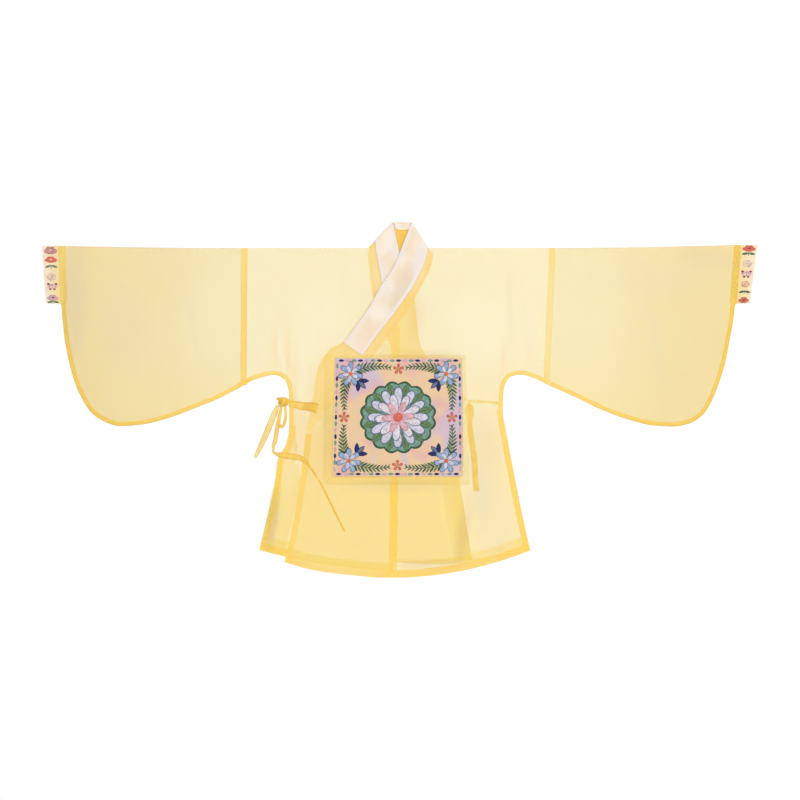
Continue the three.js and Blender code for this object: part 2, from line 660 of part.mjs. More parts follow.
// The strip turns under at a shoulder: its turned edge stands out by half the
// height between its two runs.
function turnRow(row, sharesOf, side) {
  const z = (row.mid + COLLAR_BACK_MID) / 2;
  const out = (row.mid - COLLAR_BACK_MID) / 2;
  const run = new THREE.Vector2(row.bodyX - row.neckX, row.bodyY - row.neckY).normalize();
  const moved = { ...row };
  moved.neckX += side * -run.y * side * out;
  moved.bodyX += side * -run.y * side * out;
  moved.neckY += run.x * out;
  moved.bodyY += run.x * out;
  return stripRow(moved, sharesOf, z);
}

function collarMiddle(sharesOf, innerCount, outerCount) {
  const inner = collarInnerRows.slice(0, innerCount).reverse();
  const outer = collarOuterRows.slice(0, outerCount);
  const rightTurn = collarInnerRows[0];
  const leftTurn = collarOuterRows[0];
  const behind = [];
  for (let k = 0; k <= COLLAR_BACK_STEPS; k++) {
    const t = k / COLLAR_BACK_STEPS;
    const row = {
      neckX: mix(rightTurn.neckX, leftTurn.neckX, t),
      neckY: mix(rightTurn.neckY, leftTurn.neckY, t),
      bodyX: mix(rightTurn.bodyX, leftTurn.bodyX, t),
      bodyY: mix(rightTurn.bodyY, leftTurn.bodyY, t),
      guard: mix(rightTurn.guard, leftTurn.guard, t),
    };
    behind.push(stripRow(row, sharesOf, COLLAR_BACK_MID));
  }
  return [
    ...inner.map((row) => stripRow(row, sharesOf, row.mid)),
    turnRow(rightTurn, sharesOf, -1),
    ...behind,
    turnRow(leftTurn, sharesOf, 1),
    ...outer.map((row) => stripRow(row, sharesOf, row.mid)),
  ];
}

const collarShares = (row) => [0, row.guard / 2, row.guard, 1];
const guardShares = (row) => [GUARD_INSET, row.guard / 2, row.guard];
const GUARD_OFFSET = WALL / 2 + GAP + GUARD_WALL / 2;

// ---------------------------------------------------------------- badge, ties

function badgePlan() {
  const rows = [];
  for (let i = 0; i <= BADGE_STEPS.down; i++) {
    const t = i / BADGE_STEPS.down;
    const row = [];
    for (let j = 0; j <= BADGE_STEPS.across; j++) {
      const left = mix(BADGE.leftTop, BADGE.leftLow, t);
      const right = mix(BADGE.rightTop, BADGE.rightLow, t);
      row.push({ x: mix(left, right, j / BADGE_STEPS.across), y: mix(BADGE.top, BADGE.low, t) });
    }
    rows.push(row);
  }
  return rows;
}

// A tape that lies along a middle line, three points wide.
function tape(table) {
  const rows = doubled(table);
  const lower = rows.map((row, i) => {
    const before = rows[Math.max(0, i - 1)];
    const after = rows[Math.min(rows.length - 1, i + 1)];
    const run = new THREE.Vector2(after.x - before.x, after.y - before.y).normalize();
    return [-0.5, 0, 0.5].map((s) => (
      new THREE.Vector3(row.x - run.y * s * row.width, row.y + run.x * s * row.width, row.z)
    ));
  });
  const upper = lower.map((row) => row.map((p) => p.clone().setZ(p.z + WALL)));
  return wallBetween(upper, lower);
}

// The knot: a squat ball of tape, drawn in at its waist, flat underneath.
function knot() {
  const ball = new THREE.SphereGeometry(1, KNOT_STEPS.round, KNOT_STEPS.tall);
  ball.deleteAttribute("normal");
  ball.deleteAttribute("uv");
  const geometry = mergeVertices(ball, 1e-4);
  const position = geometry.getAttribute("position");
  for (let i = 0; i < position.count; i++) {
    const [x, z, y] = [position.getX(i), position.getY(i), position.getZ(i)];
    const waist = 1 - KNOT_FORM.waist * Math.exp(-((x / KNOT_FORM.waistWide) ** 2));
    const height = Math.max(0, KNOT_FORM.base + (1 - KNOT_FORM.base) * z * waist);
    position.setXYZ(i, KNOT.x + KNOT.across * x, KNOT.y - KNOT.along * y * waist, KNOT.tall * height);
  }
  return geometry;
}

// ------------------------------------------------------------------- assembly

const jacket = new THREE.Group();

function piece(name, geometry, material) {
  const mesh = new THREE.Mesh(geometry, material);
  mesh.name = name;
  jacket.add(mesh);
}

const innerEdge = { rows: collarInnerRows, atCentre: INNER_AT_CENTRE };
const outerEdge = { rows: collarOuterRows, atCentre: OUTER_AT_CENTRE };
piece("body_right", bodyPanel(BODY_RIGHT, innerEdge, -1, rightFront), ORGANZA());
piece("body_left", bodyPanel(BODY_LEFT, outerEdge, 1, outerFront), ORGANZA());
piece("overlap_inner", overlapPanel(OVERLAP_INNER, innerEdge, 1, innerFront), ORGANZA());
piece("overlap_outer", overlapPanel(OVERLAP_OUTER, outerEdge, -1, outerFront), ORGANZA());

piece("sleeve_right", ringTube(SLEEVE_RIGHT, SLEEVE_RING_STEPS, sleeveLift), ORGANZA());
piece("sleeve_left", ringTube(SLEEVE_LEFT, SLEEVE_RING_STEPS, sleeveLift), ORGANZA());
piece("cuff_ribbon_right", ringTube(RIBBON_RIGHT, RIBBON_RING_STEPS, flatLift), RIBBON_CLOTH());
piece("cuff_ribbon_left", ringTube(RIBBON_LEFT, RIBBON_RING_STEPS, flatLift), RIBBON_CLOTH());

const collar = collarMiddle(collarShares, collarInnerRows.length, collarOuterRows.length);
const guard = collarMiddle(guardShares, INNER_GUARD_END + 1, OUTER_GUARD_END + 1);
piece("collar", wallAround(collar, WALL), COLLAR_CLOTH());
piece("collar_guard", wallAround(guard, GUARD_WALL, GUARD_OFFSET), GUARD_CLOTH());

piece("badge", lyingWall(badgePlan(), badgeUnder, BADGE_WALL), BADGE_CLOTH());

piece("tie_outer_band", tape(TIE_BAND), TAPE_CLOTH());
piece("tie_outer_knot", knot(), TAPE_CLOTH());
piece("tie_outer_loop", tape(LOOP), TAPE_CLOTH());
piece("tie_outer_tail_a", tape(TAIL_A), TAPE_CLOTH());
piece("tie_outer_tail_b", tape(TAIL_B), TAPE_CLOTH());
piece("tie_inner_band", tape(INNER_BAND), TAPE_CLOTH());
piece("tie_inner_tail", tape(INNER_TAIL), TAPE_CLOTH());

export default jacket;
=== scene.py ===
# %% [markdown]
# # A sheer cross-collar jacket, laid flat
# The jacket is cut from thin yellow organza and lies on its back, closed left
# over right. Almost everything that is seen comes from one fact: the cloth is
# sheer, so each extra layer at a seam, hem or overlap makes the yellow deeper.
# The pieces are therefore built layer by layer, as the maker sewed them, and
# each layer lets part of what lies below it through.

import math

import bmesh
import bpy
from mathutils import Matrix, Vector, noise


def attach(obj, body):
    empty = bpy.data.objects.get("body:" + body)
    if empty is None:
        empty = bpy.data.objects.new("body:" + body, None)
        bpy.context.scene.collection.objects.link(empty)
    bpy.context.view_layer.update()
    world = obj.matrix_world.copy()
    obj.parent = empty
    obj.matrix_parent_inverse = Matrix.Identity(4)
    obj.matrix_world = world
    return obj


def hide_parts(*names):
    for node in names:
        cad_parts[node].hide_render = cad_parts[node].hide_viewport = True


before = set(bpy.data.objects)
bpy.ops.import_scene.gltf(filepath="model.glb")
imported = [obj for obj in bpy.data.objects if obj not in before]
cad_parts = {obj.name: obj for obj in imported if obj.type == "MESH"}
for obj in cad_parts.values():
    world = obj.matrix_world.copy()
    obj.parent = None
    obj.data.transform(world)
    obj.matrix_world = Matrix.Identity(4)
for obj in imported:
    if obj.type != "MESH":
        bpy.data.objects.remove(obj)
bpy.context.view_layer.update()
print("frame nodes:", sorted(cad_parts))

# %% [markdown]
# ## Sums
# Sizes are in millimetres, in tables with named columns, and are only turned
# into metres when a point is placed. `along` reads a column between its rows
# on a smooth curve that never overshoots, which keeps sewn edges fair.

# %% Small sums
MM = 0.001


def mix(a, b, t):
    return a + (b - a) * t


def bowed(t):
    return 4 * t * (1 - t)


def ease(start, end, value):
    t = min(1.0, max(0.0, (value - start) / (end - start)))
    return t * t * (3 - 2 * t)


def along(values, place):
    last = len(values) - 1
    k = min(last - 1, max(0, int(place)))

    def slope(i):
        if i == 0:
            return values[1] - values[0]
        if i == last:
            return values[last] - values[last - 1]
        before, after = values[i] - values[i - 1], values[i + 1] - values[i]
        return 2 * before * after / (before + after) if before * after > 0 else 0.0

    t = place - k
    return (
        values[k] * (2 * t**3 - 3 * t**2 + 1)
        + slope(k) * (t**3 - 2 * t**2 + t)
        + values[k + 1] * (3 * t**2 - 2 * t**3)
        + slope(k + 1) * (t**3 - t**2)
    )


def table(names, *rows):
    return {name: [row[i] for row in rows] for i, name in enumerate(names.split())}


def read(columns, place, *names):
    return [along(columns[name], place) for name in names]


def steps(first, last, count):
    return [mix(first, last, k / count) for k in range(count + 1)]


print("a smooth column 1, 3, 4 reads", round(along([1, 3, 4], 0.5), 3), "halfway to its second row")

# %% [markdown]
# ## The cut of the jacket
# These tables repeat the sizes that the solids were made from. The collar is
# given by its two edges, row by row down each side of the neck.

# %% Collar tables
SHOULDER_Y = 379.5
CENTRE_TOP_X, CENTRE_LEAN = -8.0, 10 / 825
SEAM_FOOT, VENT_TOP = 3, 8

COLLAR_OUTER = table(
    "neck_x neck_y body_x body_y mid guard",
    (28, 443.6, 68, 380.2, 2.9, 0.79),
    (19, 419, 82, 362, 4.2, 0.79),
    (9, 394, 76, 331, 5.0, 0.78),
    (-14, 337, 49.5, 277, 5.2, 0.77),
    (-49, 284, 14, 217, 4.4, 0.74),
    (-72, 241, -10.4, 184, 3.5, 0.71),
    (-109, 187, -47, 138, 3.1, 0.7),
    (-143, 145, -75, 98, 3.1, 0.7),
    (-174, 127, -106, 66, 3.1, 0.7),
    (-201, 88, -152, 11, 3.1, 0.7),
    (-216, 12, -206, -51, 3.1, 0.7),
    (-233, -66, -236, -85, 3.1, 0.7),
)
OUTER_AT_CENTRE = 5
COLLAR_INNER = table(
    "neck_x neck_y body_x body_y mid guard",
    (-17, 443.6, -78, 380.5, 2.9, 0.73),
    (-9, 405, -80, 357, 2.6, 0.71),
    (0, 367, -77, 335, 2.3, 0.7),
    (21, 302, -71, 279, 1.8, 0.7),
    (38, 245, -57, 217, 1.8, 0.7),
    (42, 200, -32, 154, 1.8, 0.7),
    (47, 155, -11.3, 110, 1.8, 0.7),
    (63, 113, 19, 70, 1.8, 0.7),
    (104, 78, 61, 22, 1.8, 0.7),
    (136, 45, 93, -13, 1.8, 0.7),
    (166, 4, 126, -53, 1.8, 0.7),
)
INNER_AT_CENTRE = 6
COLLAR_BACK_MID = 1.6  # height of the strip behind the neck
print("rows of the collar:", len(COLLAR_OUTER["mid"]) + len(COLLAR_INNER["mid"]))

# %% [markdown]
# Each body panel has its outer edge and the heights of its rows at the centre
# seam, and each overlap panel its hem. Only what lies underneath at the
# wearer's left differs from the solids: its hems are up to 25 mm shorter, and
# the inner overlap's free edge runs straighter, as it shows through.

# %% Body tables
BODY_LEFT = table(
    "out_x out_y front_y back_y drop",
    (389, SHOULDER_Y, 0, SHOULDER_Y, 0),
    (387, 334, 0, 358, 0),
    (381.3, 205, 0, 315, 0),
    (374, 36, 0, 262, 0),
    (338, 53, 0, 228, 0),
    (303, 63, 184, 190, 0),
    (276, 58, 134, 140, 0),
    (258.5, 20, 79, 80, 0),
    (257, -25, 4, 4, 0),
    (268, -93, -88, -88, 0),
    (286, -188, -196, -196, 3),
    (306, -288, -311, -306, 8),
    (325.5, -376, -444.4, -405, 17),
)
BODY_RIGHT = table(
    "out_x out_y front_y back_y drop",
    (-397, SHOULDER_Y, 0, SHOULDER_Y, 0),
    (-397.4, 334, 0, 360, 0),
    (-398, 205, 0, 325, 0),
    (-399.5, 31, 0, 283, 0),
    (-362, 51, 0, 240, 0),
    (-315, 62.5, 0, 160, 0),
    (-285, 46, 110, 108, 0),
    (-277, 5, 40, 40, 0),
    (-277, -63, -35, -35, 0),
    (-284, -108, -100, -100, 0),
    (-306, -150, -160, -160, 0),
    (-313, -208, -225, -225, 2),
    (-331, -286, -310, -310, 5),
    (-352, -375, -431, -430, 9),
)
OVERLAP_OUTER = table(
    "low_x low_y bow",
    (-18, -444.4, 0),
    (-56, -444, 0),
    (-92, -441, 0),
    (-130, -437, 0),
    (-180, -431.5, 1),
    (-232, -422, 3),
    (-289, -405, 6),
)
OVERLAP_INNER = table(
    "low_x low_y bow",
    (-17.8, -406, 0),
    (32, -406, 0),
    (82, -405, -2),
    (130, -403, -2),
    (180, -400, 0),
)
print("chest, mm:", BODY_LEFT["out_x"][8] - BODY_RIGHT["out_x"][8])


def centre_x(y):
    return CENTRE_TOP_X + (y - SHOULDER_Y) * CENTRE_LEAN


# %% [markdown]
# A sleeve and its ribbon are given between their top fold and their lower edge,
# from the cuff inwards. The lower edge of a sleeve is the long curved seam.

# %% Sleeve tables
SLEEVE_RIGHT = table(
    "top_x top_y low_x low_y",
    (-855, 385, -850, 241.5),
    (-844, 385, -847, 237),
    (-834, 385, -844, 204),
    (-824, 385, -839, 157),
    (-809, 384.5, -829, 102),
    (-789, 384, -814, 47),
    (-764, 383.5, -794, 2),
    (-734, 383, -772, -31),
    (-699, 382, -739, -54),
    (-659, 381.5, -699, -65.5),
    (-612, 381, -649, -62),
    (-554, 380, -587, -48),
    (-492, 379.8, -519, -23),
    (-439, 379.6, -457, 2),
    (-397.3, 379.5, -400.4, 31),
)
SLEEVE_LEFT = table(
    "top_x top_y low_x low_y",
    (853, 387.4, 842, 241.5),
    (843, 387.3, 838, 237),
    (833, 387.2, 833, 199),
    (821, 387, 824, 149),
    (806, 386.5, 814, 97),
    (786, 386, 799, 47),
    (761, 385.5, 779, -3),
    (733, 385, 756, -38),
    (701, 384, 723, -59),
    (661, 383, 681, -66.5),
    (613, 382, 633, -64),
    (556, 381.2, 571, -49),
    (493, 380.5, 503, -24),
    (438, 380, 443, 5),
    (389.4, 379.5, 374.9, 35.6),
)
RIBBON_RIGHT = table(
    "top_x top_y low_x low_y",
    (-893.1, 384.5, -883, 242.5),
    (-881, 385, -872.5, 242),
    (-868, 385, -861.5, 242),
    (-855.4, 385, -850.4, 241.5),
)
RIBBON_LEFT = table(
    "top_x top_y low_x low_y",
    (893.1, 386.5, 873.5, 242.5),
    (880, 387, 863.5, 242),
    (867, 387.2, 853, 242),
    (853.4, 387.4, 842.4, 241.5),
)
SLEEVE_ROWS = len(SLEEVE_RIGHT["top_x"]) - 1
print("rows of a sleeve:", SLEEVE_ROWS)

# %% [markdown]
# ## How the cloth lies
# Each layer lies 1.3 mm above the one below it, as the solids do. The upper
# layers have long soft folds, which stand 1 to 2 mm high, and finer creases
# from pressing and packing. They are placed one by one, uneven in length and
# turn, because a regular ripple looks like corrugated card. A cloth simulation
# could find them too, but a jacket that is laid out by hand keeps the folds of
# its packing, and those are quicker to place than to provoke.

# %% Layers and folds
LEVEL = 1.3
ON_TABLE = 0.5
SOFT_FOLDS = [  # x, y, half length, half width, turn in degrees, height
    (-640, 170, 190, 46, 66, 1.8),
    (-520, 215, 150, 40, 112, 1.4),
    (-330, 225, 120, 38, 62, 1.3),
    (-190, 265, 90, 36, 80, 1.1),
    (640, 150, 190, 50, 100, 1.9),
    (500, 200, 150, 42, 70, 1.3),
    (300, 215, 120, 40, 118, 1.4),
    (175, 250, 100, 36, 96, 1.0),
    (215, -150, 190, 34, 94, 1.6),
    (60, -320, 105, 32, 86, 1.2),
    (-130, -310, 110, 36, 97, 1.5),
]
CREASES = [
    (-190, -110, 82, 7, 91, 0.7),
    (-205, -330, 60, 9, 84, 0.45),
    (-118, -300, 70, 10, 95, 0.4),
    (-60, -330, 75, 8, 90, 0.35),
    (62, -300, 90, 10, 92, 0.4),
    (118, -260, 80, 9, 86, 0.4),
    (222, -130, 75, 9, 76, 0.6),
    (205, -250, 70, 10, 84, 0.45),
    (262, -260, 80, 10, 100, 0.35),
    (275, 250, 110, 9, 92, 0.45),
    (250, 190, 90, 8, 88, 0.4),
    (110, 240, 100, 9, 95, 0.4),
    (180, 130, 70, 8, 90, 0.35),
    (-130, 250, 90, 8, 88, 0.35),
    (-250, 150, 80, 9, 93, 0.4),
    (-330, 130, 70, 10, 85, 0.45),
    (-375, 220, 130, 9, 90, 0.35),
    (-470, 130, 130, 10, 88, 0.4),
    (-560, 220, 120, 10, 94, 0.4),
    (-700, 240, 110, 9, 87, 0.4),
    (-780, 270, 90, 8, 92, 0.35),
    (460, 130, 130, 10, 92, 0.4),
    (560, 230, 120, 10, 86, 0.4),
    (700, 230, 110, 9, 93, 0.4),
    (785, 260, 90, 8, 88, 0.35),
]
UNDER_EDGE = table("y x", (380, 1), (259, 42), (162, 44), (109, 60), (49, 106), (-6, 168))
CLIMB_REACH, CLIMB_RAMP = 22, 26  # how far past that edge the outer front comes down
print("folds and creases:", len(SOFT_FOLDS), len(CREASES))

# %% [markdown]
# Each front reads its own height at a place: the layer that it lies on, its
# folds, and a faint ripple. The outer front comes down past the layers that it
# covers, on the chest and at the side seam.

# %% Heights
def ridges(folds, x, y):
    height = 0.0
    for fold_x, fold_y, half_length, half_width, turn, tall in folds:
        c, s = math.cos(math.radians(turn)), math.sin(math.radians(turn))
        u = ((x - fold_x) * c + (y - fold_y) * s) / half_length
        v = ((y - fold_y) * c - (x - fold_x) * s) / half_width
        if abs(u) < 1 and abs(v) < 1:
            height += tall * math.cos(u * math.pi / 2) ** 2 * math.cos(v * math.pi / 2) ** 2
    return height


def ripple(x, y):
    wide = noise.noise(Vector((x / 60, y / 110, 3.1)))
    fine = noise.noise(Vector((x / 22, y / 40, 7.7)))
    return 0.16 * wide + 0.07 * fine


def folded(x, y):
    return ridges(SOFT_FOLDS, x, y) + ridges(CREASES, x, y)


def under_edge(y):
    """Where the layers under the outer front end, at a height up the chest."""
    ys = UNDER_EDGE["y"]
    k = next((i for i in range(len(ys) - 1) if y >= ys[i + 1]), None)
    if k is None:
        return UNDER_EDGE["x"][-1]
    return along(UNDER_EDGE["x"], k + max(0.0, (ys[k] - y) / (ys[k] - ys[k + 1])))


def inner_z(x, y):
    return ON_TABLE + LEVEL


def right_front_z(x, y):
    uncovered = ease(-110, -170, x) * ease(80, 130, y)
    return ON_TABLE + LEVEL + folded(x, y) * uncovered + ripple(x, y)


def outer_front_z(x, y):
    edge = under_edge(y) + CLIMB_REACH
    over = 1 - ease(edge, edge + CLIMB_RAMP, x)
    at_side = ease(150, 70, y) * ease(340, 263, x)
    rise = LEVEL * (1 + max(over, at_side))
    return ON_TABLE + rise + folded(x, y) + ripple(x, y)


print("outer front on the chest stands at", round(outer_front_z(100, 250), 2), "mm")

# %% [markdown]
# ## Making a sheet of cloth
# A sheet starts as a plain grid from `create_grid`. Each corner of the grid is
# then moved to its own place on the cloth. Several sheets can share one piece,
# as a panel and its seam allowances do, and each has its own finish. A plane
# could be cut and bent in the editor, but a sewn edge is easiest to follow when
# each row of the grid is laid along a line of the pattern.

# %% A sheet
# The third finish is a layer that lies under other cloth; its greyish colour is painted shade.
PLAIN, SEAM, SHADED_LAYER = 0, 1, 2  # finishes on one piece


def lay_sheet(bm, rows, finish=PLAIN, edges=None):
    """Lay a grid on rows of points, in mm. `edges` finishes its outer columns."""
    down, across = len(rows) - 1, len(rows[0]) - 1
    made = bmesh.ops.create_grid(bm, x_segments=across, y_segments=down, size=0.5)
    for face in {face for corner in made["verts"] for face in corner.link_faces}:
        column = int((face.calc_center_median().x + 0.5) * across)
        at_edge = edges is not None and column in (0, across - 1)
        face.material_index = edges if at_edge else finish
    for corner in made["verts"]:
        i = round((0.5 - corner.co.y) * down)
        j = round((corner.co.x + 0.5) * across)
        corner.co = Vector(rows[i][j]) * MM


print("finishes:", {"plain": PLAIN, "seam": SEAM, "fold": SHADED_LAYER})

# %% [markdown]
# Seam allowances, hems and tucks are narrow sheets that follow a sewn edge. The
# path of the edge is walked once, and each point of it looks into the cloth.

# %% Bands along an edge
LAP = 0.5  # from the middle of one layer to the middle of one sewn against it


def unit(x, y):
    length = math.hypot(x, y) or 1.0
    return x / length, y / length


def edge_frames(path, inside):
    """Each point of a path with the direction in plan that points into the cloth."""
    frames = []
    for i, (x, y) in enumerate(path):
        x0, y0 = path[max(0, i - 1)]
        x1, y1 = path[min(len(path) - 1, i + 1)]
        run_x, run_y = unit(x1 - x0, y1 - y0)
        frames.append((x, y, -run_y * inside, run_x * inside))
    return frames


def strip(bm, path, inside, width, z, columns=3, start=0.0, finish=SEAM, grows=False):
    """A flat band of cloth along a path, from start to width inside it."""
    rows = []
    for i, (x, y, in_x, in_y) in enumerate(edge_frames(path, inside)):
        far = mix(start + 1, width, ease(0, 0.6, i / len(path))) if grows else width
        places = [(x + in_x * s, y + in_y * s) for s in steps(start, far, columns)]
        rows.append([(px, py, z(px, py)) for px, py in places])
    lay_sheet(bm, rows, finish)


def pleat(bm, curve, width, z):
    """A pressed tuck: one more layer, narrow, along the curve through a table."""
    last = len(curve["x"]) - 1
    path = [read(curve, v, "x", "y") for v in steps(0, last, 12 * last)]
    rows = []
    for i, (x, y, in_x, in_y) in enumerate(edge_frames(path, 1)):
        half = width / 2 * math.sin(math.pi * mix(0.08, 0.92, i / (len(path) - 1))) ** 0.5
        rows.append([(x + in_x * d, y + in_y * d, z(x, y) + LAP) for d in steps(-half, half, 4)])
    lay_sheet(bm, rows)


def bound_edge(bm, path, inside, width, top_z, low_z):
    """A band folded round a sewn edge: over the top layer and under the lowest."""
    top = [(width, 1), (width / 2, 1), (0.9, 1), (0.25, 0.75)]
    stations = top + [(0.0, 0.5)] + [(s, 1 - t) for s, t in reversed(top)]
    rows = []
    for x, y, in_x, in_y in edge_frames(path, inside):
        row = []
        for s, share in stations:
            px, py = x + in_x * s, y + in_y * s
            high, low = top_z(px, py) + LAP, low_z(px, py) - LAP
            row.append((px, py, mix(low, high, share)))
        rows.append(row)
    lay_sheet(bm, rows, SEAM)


print("an edge that runs up looks to its left:", edge_frames([(0, 0), (0, 1)], 1)[0][2:])

# %% [markdown]
# A Solidify modifier gives the sheets of a piece their thickness, with a closed
# rim. Edges that are cut stay sharp, so the cloth beside them is evenly lit.

# %% Make a piece
CLOTH = 0.26  # thickness of one layer of organza


def make_object(name, bm, materials):
    mesh = bpy.data.meshes.new(name)
    bm.to_mesh(mesh)
    bm.free()
    for material in materials:
        mesh.materials.append(material)
    made = bpy.data.objects.new(name, mesh)
    bpy.context.scene.collection.objects.link(made)
    return made


def make_piece(name, bm, materials, nodes, thickness=CLOTH, merge=False):
    if merge:
        bmesh.ops.remove_doubles(bm, verts=bm.verts, dist=1e-6)
    for edge in bm.edges:
        edge.smooth = not edge.is_boundary
    for face in bm.faces:
        face.smooth = True
    piece = make_object(name, bm, materials)
    if thickness:
        wall = piece.modifiers.new("thickness", "SOLIDIFY")
        wall.thickness = thickness * MM
        wall.offset = 0
    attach(piece, "root")
    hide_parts(*nodes)
    print(name, "faces:", len(piece.data.polygons))
    return piece


# %% [markdown]
# ## Shader sums
# A material's sums are written as Python expressions. `Value` wraps a socket,
# and an operator on it adds the Math node.

# %% Value
class Value:
    def __init__(self, paint, socket):
        self.paint, self.socket = paint, socket

    def math(self, operation, other=None, flipped=False):
        pair = [self, other] if not flipped else [other, self]
        inputs = {i: x for i, x in enumerate(pair) if x is not None}
        return self.paint.node("ShaderNodeMath", {"operation": operation}, inputs)

    def __add__(self, other):
        return self.math("ADD", other)

    def __sub__(self, other):
        return self.math("SUBTRACT", other)

    def __mul__(self, other):
        return self.math("MULTIPLY", other)

    def __truediv__(self, other):
        return self.math("DIVIDE", other)

    def __rsub__(self, other):
        return self.math("SUBTRACT", other, flipped=True)

    def __rtruediv__(self, other):
        return self.math("DIVIDE", other, flipped=True)

    __radd__, __rmul__ = __add__, __mul__

    def clamped(self, low, high):
        settings = {"clamp": True, "interpolation_type": "SMOOTHSTEP"}
        inputs = {0: self, 1: low, 2: high, 3: 0.0, 4: 1.0}
        return self.paint.node("ShaderNodeMapRange", settings, inputs)


print("reflected operators:", [name for name in vars(Value) if name.startswith("__r")])

# %% [markdown]
# `Paint` is one material. `node` adds any node from its type, its settings and
# its inputs, and the rest are the few patterns that cloth needs: a cloud, the
# ridges of a weave, and a soft patch of another colour at one place.

# %% Paint
FINE = 0.0006  # pitch of the finest weave, in metres


class Paint:
    def __init__(self, name, **constants):
        self.material = bpy.data.materials.new(name)
        self.material.use_nodes = True
        self.tree = self.material.node_tree
        self.shader = self.tree.nodes["Principled BSDF"]
        for socket, value in constants.items():
            self.shader.inputs[socket.replace("_", " ")].default_value = value
        self.coords = self.node("ShaderNodeTexCoord", {}, {}, "Object")
        parts = self.tree.nodes.new("ShaderNodeSeparateXYZ")
        self.tree.links.new(self.coords.socket, parts.inputs[0])
        self.x, self.y = [Value(self, parts.outputs[i]) for i in range(2)]

    def node(self, kind, settings, inputs, output=0):
        made = self.tree.nodes.new(kind)
        for name, value in settings.items():
            setattr(made, name, value)
        for socket, value in inputs.items():
            self.feed(made.inputs[socket], value)
        return Value(self, made.outputs[output])

    def feed(self, socket, value):
        if isinstance(value, Value):
            self.tree.links.new(value.socket, socket)
        else:
            socket.default_value = value

    def stretched(self, x, y, z=1.0):
        return self.node("ShaderNodeMapping", {}, {"Vector": self.coords, "Scale": (x, y, z)})

    def cloud(self, scale, vector=None, detail=2.0):
        inputs = {"Vector": vector or self.coords, "Scale": scale, "Detail": detail}
        return self.node("ShaderNodeTexNoise", {}, inputs)

    def threads(self, pitch, direction):
        """Ridges a pitch apart, in metres: the wave node's scale is 0.314 over it."""
        settings = {"wave_type": "BANDS", "bands_direction": direction}
        inputs = {"Vector": self.coords, "Scale": 0.314159 / pitch, "Distortion": 0.4}
        inputs["Detail Scale"] = 3.0
        return self.node("ShaderNodeTexWave", settings, inputs)

    def weave(self, pitch_x=FINE, pitch_y=FINE):
        return self.threads(pitch_x, "X") + self.threads(pitch_y, "Y")

    def patch(self, x, y, reach_x, reach_y, turn=0.0):
        """1 at a place on the cloth, falling softly to 0 at its reach, in mm."""
        c, s = math.cos(math.radians(turn)), math.sin(math.radians(turn))
        dx, dy = self.x - x * MM, self.y - y * MM
        across, up = (dx * c + dy * s) / (reach_x * MM), (dy * c - dx * s) / (reach_y * MM)
        return (1 - (across * across + up * up)).clamped(0.0, 1.0)

    def blend(self, factor, a, b):
        return self.node("ShaderNodeMix", {"data_type": "RGBA"}, {0: factor, 6: a, 7: b}, 2)

    def tinted(self, ground, tints):
        for x, y, reach_x, reach_y, turn, strength, tint in tints:
            spot = self.patch(x, y, reach_x, reach_y, turn) * strength
            ground = self.blend(spot, ground, tint)
        return ground

    def bump(self, height, strength, distance):
        inputs = {"Strength": strength, "Distance": distance, "Height": height}
        normal = self.node("ShaderNodeBump", {}, inputs)
        self.feed(self.shader.inputs["Normal"], normal)

    def colour(self, value):
        self.feed(self.shader.inputs["Base Color"], value)


print("threads of the finest weave to a millimetre:", round(MM / FINE, 1))

# %% [markdown]
# Colours are given as they show, from 0 to 255. A red a little over 255 is
# cloth that the light lifts past white in that channel.

# %% Colours
LIGHT = 1.1  # how brightly the studio light shows a white cloth


def rgb(red, green, blue):
    """A display colour as the linear base colour that shows it in this light."""
    def linear(c):
        c /= 255
        return (c / 12.92 if c <= 0.04045 else ((c + 0.055) / 1.055) ** 2.4) / LIGHT

    return (linear(red), linear(green), linear(blue), 1.0)


print("a red of 255 is a base colour of", round(rgb(255, 0, 0)[0], 3))

# %% [markdown]
# ## Organza
# Organza is a plain weave of fine twisted yarn, so thin that one layer covers
# under half of what is behind it. Each layer is a closed shell, so light meets
# two surfaces per layer, and what one surface lets through is the square root
# of what the layer lets through. A translucent shader could pass light too, but
# plain alpha lets each layer deepen the next, as on the real cloth. The yellow
# is warmest low on the skirt, pale on the chest, and duller and darker on the
# sleeves, which is painted shade for the light falling off to the sides.

# %% Organza material
def surface_alpha(layer_alpha):
    return 1 - math.sqrt(1 - layer_alpha)


def organza(name, layer_alpha, warm, pale, outer_shade, tints=(), slub=0.8):
    cloth = Paint(name, Alpha=surface_alpha(layer_alpha), Roughness=0.6, Specular_IOR_Level=0.15)
    drift = cloth.cloud(5.0, detail=1.0) - 0.5
    chest = (cloth.y + drift * 0.1).clamped(-0.2, 0.16)
    out = (cloth.x.math("ABSOLUTE") + drift * 0.12).clamped(0.36, 0.84)
    ground = cloth.blend(chest, warm, pale)
    # Towards the sleeves the ground turns to the third, darker colour: painted shade.
    ground = cloth.blend(out, ground, outer_shade)
    ground = cloth.tinted(ground, tints)
    down = cloth.cloud(1.0, cloth.stretched(240, 12), detail=3.0).clamped(0.35, 0.75)
    across = cloth.cloud(1.0, cloth.stretched(12, 260), detail=3.0).clamped(0.35, 0.75)
    ground = cloth.blend(down * (0.14 * slub), ground, rgb(240, 196, 92))
    ground = cloth.blend(across * (0.12 * slub), ground, rgb(255, 244, 196))
    cloth.colour(ground)
    pressed = cloth.cloud(1.0, cloth.stretched(70, 26))
    cloth.bump(cloth.weave() * 0.12 + pressed * 0.9, 0.35, 0.0006)
    return cloth.material


print("a layer that covers 0.4 has surfaces that cover", round(surface_alpha(0.4), 3))
